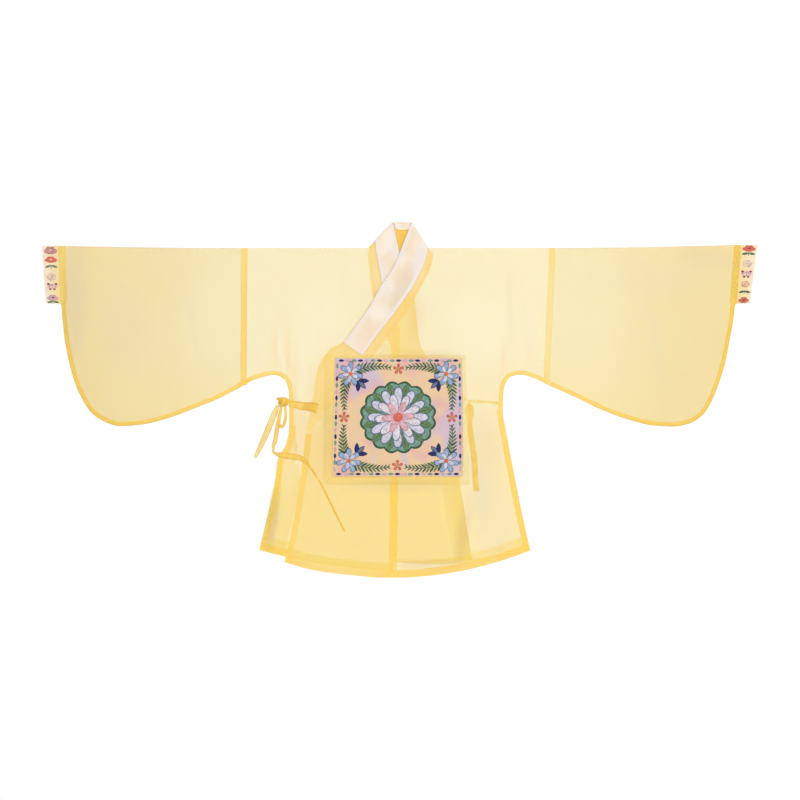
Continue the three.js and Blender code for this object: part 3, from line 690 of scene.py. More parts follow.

# %% [markdown]
# Where folds, pressing and the layers below change the yellow, a tint is put
# there. The SHADE and grey tints are painted shade in folds and hollows, the LIT
# tints painted light, and the GLINT tints painted highlights along folds; DEEP
# and OCHRE tints make the yellow deeper or browner. The cloth of seams covers
# more; the greyish cloth of the layers that lie underneath covers less, and its
# grey is painted shade.

# %% Organza cloths
WARM, PALE = rgb(252, 216, 81), rgb(246, 225, 143)
# SHADE and the grey tint are painted shade, LIT is painted light and GLINT a painted highlight.
DEEP, SHADE, GREY_SHADE = rgb(248, 204, 76), rgb(210, 178, 92), rgb(222, 200, 128)
LIT, GLINT, OCHRE = rgb(252, 238, 180), rgb(255, 249, 220), rgb(232, 192, 76)
BODY_TINTS = [  # x, y, reach across, reach up, turn, strength, tint
    (-300, -100, 40, 60, 0, 0.6, DEEP),
    (-190, 60, 36, 120, -14, 0.8, DEEP),
    (200, -150, 60, 170, 0, 0.5, GREY_SHADE),
    (-276, -190, 24, 80, -6, 0.2, LIT),
    (-205, -130, 60, 130, 0, 0.8, DEEP),
    (224, -126, 11, 80, -17, 0.3, SHADE),
    (-322, -300, 26, 110, -6, 0.6, SHADE),
    (205, -245, 14, 90, 4, 0.35, GREY_SHADE),
    (262, -20, 22, 60, 0, 0.4, DEEP),
    (157, -335, 22, 110, -9, 0.8, OCHRE),
    (240, -300, 60, 120, 0, 0.25, GREY_SHADE),
    (-256, -80, 42, 100, 0, 0.9, DEEP),
    (-30, 150, 60, 60, 0, 0.4, DEEP),
    (-200, 190, 90, 130, 0, 0.3, LIT),
    (200, 180, 110, 130, 0, 0.3, LIT),
    (274, 240, 9, 150, 1, 0.35, GREY_SHADE),
    (75, -412, 110, 16, 0, 0.7, OCHRE),
    (226, -125, 44, 80, 0, 0.7, DEEP),
    (-184, -60, 20, 190, 0, 0.5, OCHRE),
    (0, -214, 190, 26, 0, 0.5, OCHRE),
    (50, 114, 110, 18, 0, 0.6, OCHRE),
    (38, 200, 30, 80, -10, 0.5, OCHRE),
    (-296, 110, 7, 80, 6, 0.22, GLINT),
    (-313, 130, 9, 80, 5, 0.5, DEEP),
    (-280, 110, 10, 100, 2, 0.5, DEEP),
    (-264, 30, 8, 100, -1, 0.6, DEEP),
    (-246, 60, 12, 120, -3, 0.18, GLINT),
    (257, 90, 8, 90, -3, 0.5, DEEP),
    (323, 112, 6, 50, 8, 0.5, DEEP),
    (-250, -260, 8, 80, -8, 0.5, DEEP),
]
SLEEVE_TINTS = [
    (-815, 250, 46, 190, 0, 0.5, SHADE),
    (-690, 180, 90, 150, 10, 0.3, GREY_SHADE),
    (-460, 200, 110, 240, 0, 0.15, LIT),
    (-520, 200, 14, 150, 12, 0.3, GREY_SHADE),
    (640, 300, 220, 60, 0, 0.25, GREY_SHADE),
    (470, 210, 120, 240, 0, 0.15, LIT),
    (775, 352, 110, 34, -8, 0.35, SHADE),
    (640, 150, 18, 180, 10, 0.3, GREY_SHADE),
]
SEAM_TINTS = [
    (-390, 200, 40, 230, 0, 1.0, rgb(262, 202, 52)),
    (-150, -415, 130, 40, -4, 0.4, LIT),
    (370, 200, 26, 200, 0, 0.6, LIT),
    # At the cuffs, the pale tint on the right sleeve is painted light and the SHADE tint on the
    # left sleeve painted shade.
    (-845, 320, 30, 110, 0, 0.5, PALE),
    (-316, -210, 30, 130, -6, 0.4, DEEP),
    (-240, -130, 30, 80, 0, 0.9, DEEP),
    (845, 320, 30, 110, 0, 0.3, SHADE),
]
BACKING_TINTS = [
    (170, -50, 50, 300, 0, 0.8, PALE),
    (30, 116, 190, 18, 0, 0.7, SHADE),
    (-184, -60, 18, 190, 0, 0.6, SHADE),
    (0, -212, 210, 22, 0, 0.6, SHADE),
]
BODY_CLOTH = organza("organza_body", 0.40, WARM, PALE, rgb(243, 222, 138), BODY_TINTS)
SLEEVE_CLOTH = organza(
    "organza_sleeve", 0.46, WARM, rgb(241, 220, 134), rgb(234, 201, 72), SLEEVE_TINTS
)
SEAM_CLOTH = organza(
    "organza_seams", 0.66, rgb(262, 214, 102), rgb(262, 216, 106), rgb(250, 203, 80), SEAM_TINTS,
    slub=0.4,
)
BACKING_CLOTH = organza(
    "organza_backing", 0.38, rgb(252, 212, 90), rgb(252, 214, 96), WARM, BACKING_TINTS
)
# The layers that lie underneath are a real thin layer of cloth whose greyish colour is painted
# shade.
SHADED_LAYER_CLOTH = organza(
    "organza_shaded_layers", 0.20, rgb(232, 204, 108), rgb(232, 214, 148), rgb(222, 198, 118)
)
SEWN_BODY = [BODY_CLOTH, SEAM_CLOTH, SHADED_LAYER_CLOTH]
SEWN_SLEEVE = [SLEEVE_CLOTH, SEAM_CLOTH, SHADED_LAYER_CLOTH]
print("hand-placed tints:", len(BODY_TINTS + SLEEVE_TINTS + SEAM_TINTS + BACKING_TINTS))

# %% [markdown]
# ## Body panels
# Each side of the body is one length of cloth, front and back, folded at the
# shoulder. The front sheet runs from its hem up to the shoulder and rolls over
# the fold to meet the back. One side could be mirrored from the other, but the
# two are cut and lie differently, so each has its own table.

# %% Body sheets
FOLD_OUT = 0.55  # how far the fold at the shoulder rolls out


def outer_edge(body, v):
    x, y = read(body, v, "out_x", "out_y")
    if v < SEAM_FOOT:
        head_x, head_y = body["out_x"][0], body["out_y"][0]
        foot_x, foot_y = body["out_x"][SEAM_FOOT], body["out_y"][SEAM_FOOT]
        x = mix(head_x, foot_x, (head_y - y) / (head_y - foot_y))
    return x, y


def front_point(body, collar, at_centre, v, s):
    out_x, out_y = outer_edge(body, v)
    if v < at_centre:
        in_x, in_y = read(collar, v, "body_x", "body_y")
        in_y = min(in_y, SHOULDER_Y)
    else:
        in_y = along(body["front_y"][at_centre:], v - at_centre)
        in_x = centre_x(in_y)
    drop = along(body["drop"], v)
    return mix(in_x, out_x, s), mix(in_y, out_y, s) - bowed(s) * drop


def back_point(body, v, s):
    out_x, out_y = outer_edge(body, v)
    in_y, drop = read(body, v, "back_y", "drop")
    return mix(centre_x(in_y), out_x, s), mix(in_y, out_y, s) - bowed(s) * drop


def row_places(body, size):
    """Places down the table, about `size` millimetres apart at the widest."""
    places = [0.0]
    for k in range(len(body["out_x"]) - 1):
        inner = abs(body["back_y"][k + 1] - body["back_y"][k])
        outer = math.hypot(
            body["out_x"][k + 1] - body["out_x"][k], body["out_y"][k + 1] - body["out_y"][k]
        )
        count = max(2, round(max(inner, outer) / size))
        places += [k + (i + 1) / count for i in range(count)]
    return places


def body_sheets(bm, body, collar, at_centre, front_z):
    shares = steps(0, 1, 48)
    rows = []
    for v in reversed(row_places(body, 8)):
        points = [front_point(body, collar, at_centre, v, s) for s in shares]
        rows.append([(x, y, front_z(x, y)) for x, y in points])
    crest = rows[-1]
    for turn in (45, 90, 135, 180):
        c, s = math.cos(math.radians(turn)), math.sin(math.radians(turn))
        rows.append([(x, y + FOLD_OUT * s, mix(ON_TABLE, z, (1 + c) / 2)) for x, y, z in crest])
    lay_sheet(bm, rows)
    places = row_places(body, 14)
    lay_sheet(bm, [[(*back_point(body, v, s), ON_TABLE) for s in shares] for v in places])


print("shoulder to hem, mm:", SHOULDER_Y - BODY_LEFT["front_y"][-1])

# %% [markdown]
# Seam allowances and hems are extra bands of the same cloth, because that is
# what makes them darker; a painted line would not deepen over another layer.
# They run inside the panel's edges: the sleeve seam from the shoulder to the
# underarm, the side seam below it, bound round both layers, then the vent, the
# hems and the centre seam.

# %% Body bands
SEAM_BAND, SIDE_BAND, HEM_BAND, VENT_BAND, CENTRE_BAND = 16, 11, 19, 15, 10
SEAM_STOP = SEAM_FOOT - 0.14  # the band ends just above the underarm
UNDER_HEM = 8
VENT_FACING = 64  # the right front's vent is backed by a broad piece of the same cloth
COVERED_HEM = 0.8  # share of the right front's hem that the outer overlap lies on
SIDE_TUCK = table("x y", (-304, -190), (-314, -262), (-326, -350))
TUCK_WIDTH = 24
LOW_BINDING = ON_TABLE + 0.05


def turned_hem(bm, path, inside, z):
    """A hem turned twice, and the turned-in part beyond it, which covers less."""
    strip(bm, path, inside, HEM_BAND, z)
    strip(bm, path, inside, HEM_BAND, lambda x, y: z(x, y) - LAP)
    strip(bm, path, inside, 2 * HEM_BAND, z, columns=2, start=HEM_BAND, finish=PLAIN)


def body_bands(bm, body, collar, at_centre, side, front_z):
    last = len(body["out_x"]) - 1
    seam = [outer_edge(body, v) for v in steps(0, SEAM_STOP, 24)]
    lower = lambda x, y: LOW_BINDING - LAP
    upper = lambda x, y: front_z(x, y) - LAP
    for z in (upper, lower):
        strip(bm, seam, -side, SEAM_BAND, z)
    sewn = [outer_edge(body, v) for v in steps(SEAM_FOOT, VENT_TOP, 60)]
    bound_edge(bm, sewn, -side, SIDE_BAND, front_z, lambda x, y: LOW_BINDING)
    vent = [outer_edge(body, v) for v in steps(VENT_TOP, last, 40)]
    for z in (upper, lower):
        strip(bm, vent, -side, VENT_BAND, z)
    if side < 0:
        strip(bm, vent, -side, VENT_FACING, upper, 6, start=VENT_BAND, finish=PLAIN, grows=True)
    shown = COVERED_HEM if side < 0 else 0
    front_hem = [front_point(body, collar, at_centre, last, s) for s in steps(shown, 1, 30)]
    turned_hem(bm, front_hem, side, upper)
    # The hem that the outer overlap covers, and the back hem underneath, use the greyish cloth,
    # whose grey is painted shade.
    if side < 0:
        covered = [front_point(body, collar, at_centre, last, s) for s in steps(0, shown, 20)]
        strip(bm, covered, side, HEM_BAND, upper, finish=SHADED_LAYER)
    back_hem = [back_point(body, last, s) for s in steps(0, 1, 30)]
    strip(bm, back_hem, side, UNDER_HEM, lower, finish=SHADED_LAYER)
    for low, high, z in (
        (body["front_y"][last], body["front_y"][at_centre], upper),
        (body["back_y"][last], SHOULDER_Y, lower),
    ):
        path = [(centre_x(y), y) for y in steps(low, high, 40)]
        strip(bm, path, -side, CENTRE_BAND, z, columns=2)


def make_body(name, body, collar, at_centre, side, front_z, node):
    bm = bmesh.new()
    body_sheets(bm, body, collar, at_centre, front_z)
    body_bands(bm, body, collar, at_centre, side, front_z)
    if side < 0:
        pleat(bm, SIDE_TUCK, TUCK_WIDTH, front_z)
    return make_piece(name, bm, SEWN_BODY, [node])


body_right = make_body(
    "body_right_cloth", BODY_RIGHT, COLLAR_INNER, INNER_AT_CENTRE, -1, right_front_z, "body_right"
)
body_left = make_body(
    "body_left_cloth", BODY_LEFT, COLLAR_OUTER, OUTER_AT_CENTRE, 1, outer_front_z, "body_left"
)

# %% [markdown]
# ## Overlap panels
# Each front is widened past the centre seam by a second panel: the inner one
# lies under everything, and the outer one crosses to the wearer's right side.
# The outer one's free edge is turned in and sewn, so it shows as a narrow band.
# The inner one's shows only as a soft edge, so it thickens in three layers.

# %% Overlap panels
SOFT_EDGE, EDGE_SINK = (46, 34, 22), 60  # widths of its layers, and what sinks them


def overlap_point(panel, collar, at_centre, u, t):
    top_x, top_y = read(collar, at_centre + u, "body_x", "body_y")
    low_x, low_y, bow = read(panel, u, "low_x", "low_y", "bow")
    if u == 0:
        top_x = centre_x(top_y)
        low_x = centre_x(low_y)
    return mix(top_x, low_x, t) + bowed(t) * bow, mix(top_y, low_y, t)


def make_overlap(name, panel, collar, at_centre, side, z, node):
    bm = bmesh.new()
    last = len(panel["low_x"]) - 1
    rows = []
    for t in steps(0, 1, 66):
        points = [overlap_point(panel, collar, at_centre, u, t) for u in steps(0, last, 30)]
        rows.append([(x, y, z(x, y)) for x, y in points])
    lay_sheet(bm, rows)
    under = lambda x, y: z(x, y) - LAP
    free = [overlap_point(panel, collar, at_centre, last, t) for t in steps(0, 1, 40)]
    hem = [overlap_point(panel, collar, at_centre, u, 1) for u in steps(0, last, 30)]
    if node == "overlap_inner":
        # The soft edge is three layers of the greyish cloth, whose grey is painted shade.
        for width in SOFT_EDGE:
            low = lambda x, y, sink=width / EDGE_SINK: z(x, y) - sink
            strip(bm, free, -side, width, low, columns=4, finish=SHADED_LAYER)
        strip(bm, hem, side, UNDER_HEM, under, finish=SHADED_LAYER)
    else:
        strip(bm, free, -side, VENT_BAND, under)
        turned_hem(bm, hem, side, under)
    centre = [overlap_point(panel, collar, at_centre, 0, t) for t in steps(0, 1, 40)]
    strip(bm, centre, side, CENTRE_BAND, under, columns=2)
    return make_piece(name, bm, SEWN_BODY, [node])


overlap_inner = make_overlap(
    "overlap_inner_cloth", OVERLAP_INNER, COLLAR_INNER, INNER_AT_CENTRE, 1, inner_z, "overlap_inner"
)
overlap_outer = make_overlap(
    "overlap_outer_cloth", OVERLAP_OUTER, COLLAR_OUTER, OUTER_AT_CENTRE, -1, outer_front_z,
    "overlap_outer",
)

# %% [markdown]
# ## Sleeves
# A lute-shaped sleeve is one piece folded along its top and sewn along the
# long curve below. It is built as rings that lie flat, closed into a tube,
# with a little air in the middle, because two separate sheets would leave the
# top fold open. A band is folded round the curved seam, and another finishes
# the opening where the ribbon is sewn on.

# %% Sleeves
SLEEVE_FULLNESS = 2.2
CUFF_BAND = 18
CUFF_UP = 1.6 * LAP
SLEEVE_MIDDLE = 1.15
SEAM_LAP = 1.3
CURVE_START = 0.5  # the curved seam's band starts half a row in, inside the cuff's


def sleeve_point(sleeve, v, t):
    top_x, top_y, low_x, low_y = read(sleeve, v, "top_x", "top_y", "low_x", "low_y")
    return mix(top_x, low_x, t), mix(top_y, low_y, t)


def sleeve_lift(sleeve, v, t):
    x, y = sleeve_point(sleeve, v, t)
    share = v / SLEEVE_ROWS
    fade = ease(0, 0.12, t) * ease(1, 0.88, t)
    ends = ease(0, 0.25, share) * ease(1, 0.8, share)
    air = SLEEVE_FULLNESS * math.sin(math.pi * t) * ends
    return (air + folded(x, y)) * fade + ripple(x, y)


def ring_stations(count, edge=0.004):
    """Places round a lying ring: share down the ring, and which wall it is on."""
    inner = steps(edge, 1 - edge, count)
    upper = [(1.0, "edge")] + [(t, "upper") for t in reversed(inner)]
    lower = [(0.0, "edge")] + [(t, "lower") for t in inner] + [(1.0, "edge")]
    return upper + lower


def make_sleeve(name, sleeve, side, node):
    bm = bmesh.new()
    stations = ring_stations(46)
    rows = []
    for v in steps(0, SLEEVE_ROWS, 5 * SLEEVE_ROWS):
        row = []
        for t, wall in stations:
            x, y = sleeve_point(sleeve, v, t)
            x -= side * SEAM_LAP * ease(0.97, 1, v / SLEEVE_ROWS)
            if wall == "upper":
                z = ON_TABLE + LEVEL + sleeve_lift(sleeve, v, t)
            else:
                z = ON_TABLE if wall == "lower" else SLEEVE_MIDDLE
            row.append((x, y, z))
        rows.append(row)
    lay_sheet(bm, rows)
    flat_top = lambda x, y: ON_TABLE + LEVEL + 0.1
    flat_low = lambda x, y: LOW_BINDING
    curve = [sleeve_point(sleeve, v, 1.0) for v in steps(CURVE_START, SLEEVE_ROWS, 92)]
    bound_edge(bm, curve, -side, SIDE_BAND, flat_top, flat_low)
    opening = [sleeve_point(sleeve, 0, t) for t in steps(0.005, 0.995, 14)]
    strip(bm, opening, -side, CUFF_BAND, lambda x, y: flat_top(x, y) + CUFF_UP)
    strip(bm, opening, -side, CUFF_BAND, lambda x, y: flat_low(x, y) - LAP)
    return make_piece(name, bm, SEWN_SLEEVE, [node], merge=True)


sleeve_right = make_sleeve("sleeve_right_cloth", SLEEVE_RIGHT, -1, "sleeve_right")
sleeve_left = make_sleeve("sleeve_left_cloth", SLEEVE_LEFT, 1, "sleeve_left")

# %% [markdown]
# ## Collar and guard
# The collar is one straight strip, folded double, that turns under at each
# shoulder and passes behind the neck. The guard is a paler strip over its neck
# side, which can be unpicked and washed. A curve with a flat profile would
# twist at the shoulders, so rows across the strip are laid from its two edges.
# Both follow the same rows, and the guard is lifted off along its own normal.

# %% Collar strip
EDGES = "neck_x", "neck_y", "body_x", "body_y", "mid"


def strip_row(columns, v, shares):
    neck_x, neck_y, body_x, body_y, mid = read(columns, v, *EDGES)
    return [Vector((mix(neck_x, body_x, s), mix(neck_y, body_y, s), mid)) for s in shares]


def turned_row(row):
    """The strip as it turns under, halfway down to its run behind the neck."""
    run = (row[-1] - row[0]).to_2d().normalized()
    out = (row[0].z - COLLAR_BACK_MID) / 2
    shift = Vector((-run.y * out, run.x * out, 0))
    if shift.y < 0:
        shift = -shift
    return [Vector((p.x + shift.x, p.y + shift.y, (p.z + COLLAR_BACK_MID) / 2)) for p in row]


def collar_rows(shares_of, inner_end, outer_end):
    rows = []
    for v in steps(inner_end, 0, round(inner_end * 8)):
        rows.append(strip_row(COLLAR_INNER, v, shares_of(COLLAR_INNER, v)))
    first = rows[-1]
    last = strip_row(COLLAR_OUTER, 0, shares_of(COLLAR_OUTER, 0))
    rows.append(turned_row(first))
    for t in steps(0, 1, 6):
        places = [(mix(a.x, b.x, t), mix(a.y, b.y, t)) for a, b in zip(first, last)]
        rows.append([Vector((x, y, COLLAR_BACK_MID)) for x, y in places])
    rows.append(turned_row(last))
    for v in steps(0, outer_end, round(outer_end * 8)):
        rows.append(strip_row(COLLAR_OUTER, v, shares_of(COLLAR_OUTER, v)))
    return rows


def offset_rows(rows, distance):
    moved = []
    for i, row in enumerate(rows):
        up, down = rows[max(0, i - 1)], rows[min(len(rows) - 1, i + 1)]
        made = []
        for j, point in enumerate(row):
            across = row[min(len(row) - 1, j + 1)] - row[max(0, j - 1)]
            normal = (down[j] - up[j]).cross(across).normalized()
            made.append(point + normal * distance)
        moved.append(made)
    return moved


def whole_width(*place):
    return steps(0, 1, 10)


def guard_width(columns, v):
    return steps(0.01, along(columns["guard"], v), 8)


print("behind the neck the strip lies at", COLLAR_BACK_MID, "mm")

# %% [markdown]
# The collar's cloth lies double and nearly covers. The guard is a pale satin
# with a faint blush, and cooler in a few places: those lavender-white patches,
# and the same colour along both its edges, are painted highlights, and a beige
# patch where it crosses the middle is painted shade.

# %% Collar cloths
def double_cloth(name, cover, light, dark, slub, gloss=0.6):
    cloth = Paint(name, Alpha=surface_alpha(cover), Roughness=gloss, Specular_IOR_Level=0.2)
    drift = cloth.cloud(9.0, detail=1.0).clamped(0.3, 0.7)
    slubs = cloth.cloud(1.0, cloth.stretched(240, 30), detail=3.0).clamped(0.3, 0.8)
    cloth.colour(cloth.blend(slubs * 0.15, cloth.blend(drift, dark, light), slub))
    cloth.bump(cloth.weave() * 0.15 + cloth.cloud(40.0) * 0.9, 0.35, 0.0005)
    return cloth.material


# The beige first tint is painted shade; the three lavender-white ones are painted highlights.
GUARD_TINTS = [
    (8, 270, 34, 90, -20, 0.7, rgb(232, 212, 184)),
    (-20, 395, 22, 60, 0, 0.25, rgb(244, 236, 240)),
    (48, 355, 16, 60, -12, 0.6, rgb(242, 234, 240)),
    (-78, 150, 36, 60, -35, 0.5, rgb(248, 220, 194)),
    (-40, 300, 20, 60, 0, 0.4, rgb(247, 236, 236)),
]


def guard_material():
    cloth = Paint("guard_pale_satin", Roughness=0.5, Specular_IOR_Level=0.25)
    patches = cloth.cloud(20.0, detail=2.0).clamped(0.4, 0.62)
    blush = cloth.cloud(13.0, cloth.stretched(1, 1.6), detail=1.0).clamped(0.42, 0.66)
    ground = cloth.blend(patches, rgb(252, 238, 218), rgb(244, 226, 198))
    ground = cloth.blend(blush * 0.6, ground, rgb(252, 228, 202))
    cloth.colour(cloth.tinted(ground, GUARD_TINTS))
    cloth.bump(cloth.weave(0.0007, 0.0005) * 0.15 + cloth.cloud(50.0) * 0.8, 0.3, 0.0005)
    return cloth.material


GUARD_CLOTH = guard_material()
# Both long edges of the guard are a lavender-white painted highlight.
GUARD_EDGE_HIGHLIGHT = double_cloth(
    "guard_edge_highlight", 1.0, rgb(244, 236, 240), rgb(247, 232, 222), rgb(250, 226, 190), 0.5
)
COLLAR_CLOTH = double_cloth(
    "collar_organza_double", 0.80, rgb(254, 222, 140), rgb(252, 216, 122), rgb(238, 196, 96)
)
COLLAR_DEEP = double_cloth(
    "collar_seams", 0.82, rgb(256, 216, 124), rgb(254, 210, 110), rgb(244, 196, 92)
)
NECK_SHADE = double_cloth(
    "neck_facing_shade", 0.9, rgb(252, 204, 84), rgb(250, 198, 74), rgb(240, 180, 60)
)
print("collar cloths:", [cloth.name for cloth in (COLLAR_CLOTH, COLLAR_DEEP, GUARD_CLOTH)])

# %% [markdown]
# A facing lies inside the neck, in a deeper yellow that is partly the layers of
# the collar behind it and partly painted shade, and the guard's top edge is
# turned down behind the neck, between the two shoulders.

# %% Make collar and guard
COLLAR_THICK, GUARD_THICK, GUARD_UP = 0.3, 0.22, 1.2
INNER_COLLAR_END, OUTER_COLLAR_END = 10, 11
INNER_GUARD_END, OUTER_GUARD_END = 3.5, 7
# The facing's deep yellow is partly painted shade inside the neck.
NECK = 2  # the finish of the facing inside the neck
NECK_FACING = {"x": 5, "top": 432, "low": 360, "half_top": 30, "half_low": 24, "z": 2.2}
TURNED_IN = {"left": -14, "right": 26, "top": 443.4, "deep": 16, "taper": 3, "sag": 2, "z": 2.9}


def make_collar():
    bm = bmesh.new()
    lay_sheet(bm, collar_rows(whole_width, INNER_COLLAR_END, OUTER_COLLAR_END), edges=SEAM)
    rows = []
    for t in steps(0, 1, 8):
        y = mix(NECK_FACING["top"], NECK_FACING["low"], t)
        half = mix(NECK_FACING["half_top"], NECK_FACING["half_low"], t)
        rows.append([(NECK_FACING["x"] + u * half, y, NECK_FACING["z"]) for u in steps(-1, 1, 8)])
    lay_sheet(bm, rows, NECK)
    cloths = [COLLAR_CLOTH, COLLAR_DEEP, NECK_SHADE]
    return make_piece("collar_strip", bm, cloths, ["collar"], COLLAR_THICK)


def make_guard():
    bm = bmesh.new()
    middle = collar_rows(guard_width, INNER_GUARD_END, OUTER_GUARD_END)
    raised = offset_rows(middle, GUARD_UP)
    if raised[0][0].z < middle[0][0].z:
        raised = offset_rows(middle, -GUARD_UP)
    lay_sheet(bm, raised, edges=SEAM)
    rows = []
    for t in steps(0, 1, 4):
        row = []
        for u in steps(0, 1, 8):
            x = mix(TURNED_IN["left"], TURNED_IN["right"], u) - TURNED_IN["taper"] * t * (2 * u - 1)
            y = TURNED_IN["top"] - TURNED_IN["deep"] * t - TURNED_IN["sag"] * bowed(u)
            row.append((x, y, TURNED_IN["z"] - 0.3 * t))
        rows.append(row)
    lay_sheet(bm, rows)
    cloths = [GUARD_CLOTH, GUARD_EDGE_HIGHLIGHT]
    return make_piece(
        "collar_guard_strip", bm, cloths, ["collar_guard"], GUARD_THICK
    )


collar, guard = make_collar(), make_guard()

# %% [markdown]
# ## Badge
# The badge is a stiff square, so it lies flat across the layers under it. Its
# ground drifts between peach, pink and lavender, which sums of clouds give
# without a picture file. A square of the same organza backs it, a little
# larger, and shows as a deeper border at its left and foot. Painted shade on
# the backing, and ochre tints on the body under it, darken that border at its
# top, left and foot.

# %% Badge and backing
SQUARES = table(
    "left_top right_top left_low right_low top low",
    (-162, 155, -170, 157, 104.5, -191),
    (-188, 163, -193, 174, 113, -212),
)
BADGE, BACKING = 0, 1
BADGE_Z, BADGE_THICK, BACKING_UP = 4.4, 0.7, 0.75
HALF_WIDE, HALF_TALL = 160, 147


def across_square(square, t):
    """The left end, the right end and the height of a line at a place down."""
    left_top, right_top, left_low, right_low, top, low = [SQUARES[name][square] for name in SQUARES]
    return mix(left_top, left_low, t), mix(right_top, right_low, t), mix(top, low, t)


def on_badge(u, w):
    """A place on the badge, from its middle, in mm."""
    left, right, y = across_square(BADGE, (HALF_TALL - w) / (2 * HALF_TALL))
    return mix(left, right, (u + HALF_WIDE) / (2 * HALF_WIDE)), y, BADGE_Z


on_badge.upwards = True


def badge_material():
    cloth = Paint("badge_weave", Roughness=0.75, Specular_IOR_Level=0.15)
    pink = cloth.cloud(9.0, detail=2.0).clamped(0.46, 0.6)
    lilac = cloth.cloud(8.0, cloth.stretched(1.3, 0.8), detail=2.0).clamped(0.52, 0.62)
    ground = cloth.blend(pink, rgb(240, 205, 165), rgb(232, 182, 180))
    ground = cloth.blend(lilac * 0.7, ground, rgb(208, 196, 218))
    stitches = cloth.threads(0.0021, "X") * cloth.threads(0.0017, "Y")
    cloth.colour(cloth.blend(stitches * 0.22, ground, rgb(214, 176, 128)))
    cloth.bump(stitches * 0.5 + cloth.cloud(30.0) * 0.4, 0.4, 0.0006)
    return cloth.material


def make_badge():
    bm = bmesh.new()
    us, ws = steps(-HALF_WIDE, HALF_WIDE, 20), steps(HALF_TALL, -HALF_TALL, 18)
    lay_sheet(bm, [[on_badge(u, w) for u in us] for w in ws])
    return make_piece("badge_ground", bm, [badge_material()], ["badge"], BADGE_THICK)


def make_backing():
    bm = bmesh.new()
    rows = []
    for t in steps(0, 1, 30):
        left, right, y = across_square(BACKING, t)
        rows.append([(x, y, outer_front_z(x, y) + BACKING_UP) for x in steps(left, right, 32)])
    lay_sheet(bm, rows)
    return make_piece("badge_backing", bm, [BACKING_CLOTH], ["badge"])


badge, badge_backing = make_badge(), make_backing()

# %% [markdown]
# ## Thread work
# The figures are small raised patches of thread. They could be painted on the
# ground, but raised ones catch the light as stitches do. Each has one colour.

# %% Threads
THREADS = {
    "white": (222, 220, 236),
    "shell": (236, 226, 232),
    "pink": (232, 188, 200),
    "peach": (246, 205, 172),
    "coral": (236, 116, 98),
    "rose": (218, 146, 144),
    "teal": (130, 170, 152),
    "green": (66, 104, 78),
    "leaf": (112, 140, 96),
    "navy": (36, 46, 104),
    "slate": (112, 124, 160),
    "sky": (164, 186, 220),
    "gold": (214, 178, 104),
    "cream": (250, 222, 188),
    "wine": (158, 84, 84),
    "mauve": (218, 156, 160),
}


def thread_material(name, colour):
    cloth = Paint("thread_" + name, Roughness=0.6, Specular_IOR_Level=0.2)
    dark = rgb(*[c * 0.88 for c in colour])
    uneven = cloth.cloud(140.0, detail=1.0).clamped(0.35, 0.65)
    cloth.colour(cloth.blend(uneven, rgb(*colour), dark))
    cloth.bump(cloth.threads(0.0011, "DIAGONAL"), 0.5, 0.0004)
    return cloth.material


THREAD_CLOTHS = [thread_material(name, colour) for name, colour in THREADS.items()]
THREAD = {name: i for i, name in enumerate(THREADS)}
print("thread colours:", len(THREADS))

# %% [markdown]
# A patch starts as a flat cone with a slanted rim, and its outline is reshaped
# into a petal, a leaf or a lozenge. Each outline gives a point at an angle.

# %% Outlines
def oval(angle):
    return math.cos(angle), math.sin(angle)


def petal(angle):
    c, s = math.cos(angle), math.sin(angle)
    return c, s * (0.72 + 0.28 * c)


def blade(angle):
    s = math.sin(angle)
    return math.cos(angle), s * abs(s) ** 0.6


def scalloped(angle):
    r = 0.92 + 0.08 * abs(math.sin(8 * angle))
    return r * math.cos(angle), r * math.sin(angle)


def fluffy(angle):
    r = 0.8 + 0.2 * abs(math.sin(2.5 * angle))
    return r * math.cos(angle), r * math.sin(angle)


print("a petal is", round(max(petal(k / 10)[1] for k in range(32)), 2), "as wide as it is long")

# %% [markdown]
# A dark patch a little larger lies under each light one, as the outline
# stitches do. `rise` lifts a patch over those below it, in tenths of a mm.

# %% Stitches
PATCH = 0.3  # height of one patch of thread
FIRST_RISE = 0.3
SLANT = 0.94  # size of a patch's top against its foot


def at_turn(reach, degrees):
    return reach * math.cos(math.radians(degrees)), reach * math.sin(math.radians(degrees))


def stitch(bm, place, outline, u, w, wide, tall, turn, colour, rise, sides=18):
    made = bmesh.ops.create_cone(
        bm, cap_ends=True, cap_tris=False, segments=sides, radius1=1, radius2=SLANT, depth=1
    )
    c, s = at_turn(1, turn)
    up = 1 if place.upwards else -1
    for corner in made["verts"]:
        share, high = math.hypot(corner.co.x, corner.co.y), corner.co.z + 0.5
        ox, oy = outline(math.atan2(corner.co.y, corner.co.x))
        lx, ly = ox * share * wide, oy * share * tall
        x, y, z = place(u + lx * c - ly * s, w + lx * s + ly * c)
        corner.co = Vector((x, y, z + up * (FIRST_RISE + rise * 0.1 + high * PATCH))) * MM
    for face in {face for corner in made["verts"] for face in corner.link_faces}:
        face.material_index = THREAD[colour]


def outlined(bm, place, outline, u, w, wide, tall, turn, rim, fill, rise, edge=1.4):
    stitch(bm, place, outline, u, w, wide + edge, tall + edge, turn, rim, rise)
    stitch(bm, place, outline, u, w, wide, tall, turn, fill, rise + 1)


print("top of a first patch, mm over its cloth's middle:", round(FIRST_RISE + PATCH, 2))

# %% [markdown]
# Blossoms are rings of petals, the outer ring first, so that each inner one
# lies over it. A spray is a bent stem with leaflets that shrink to its tip.

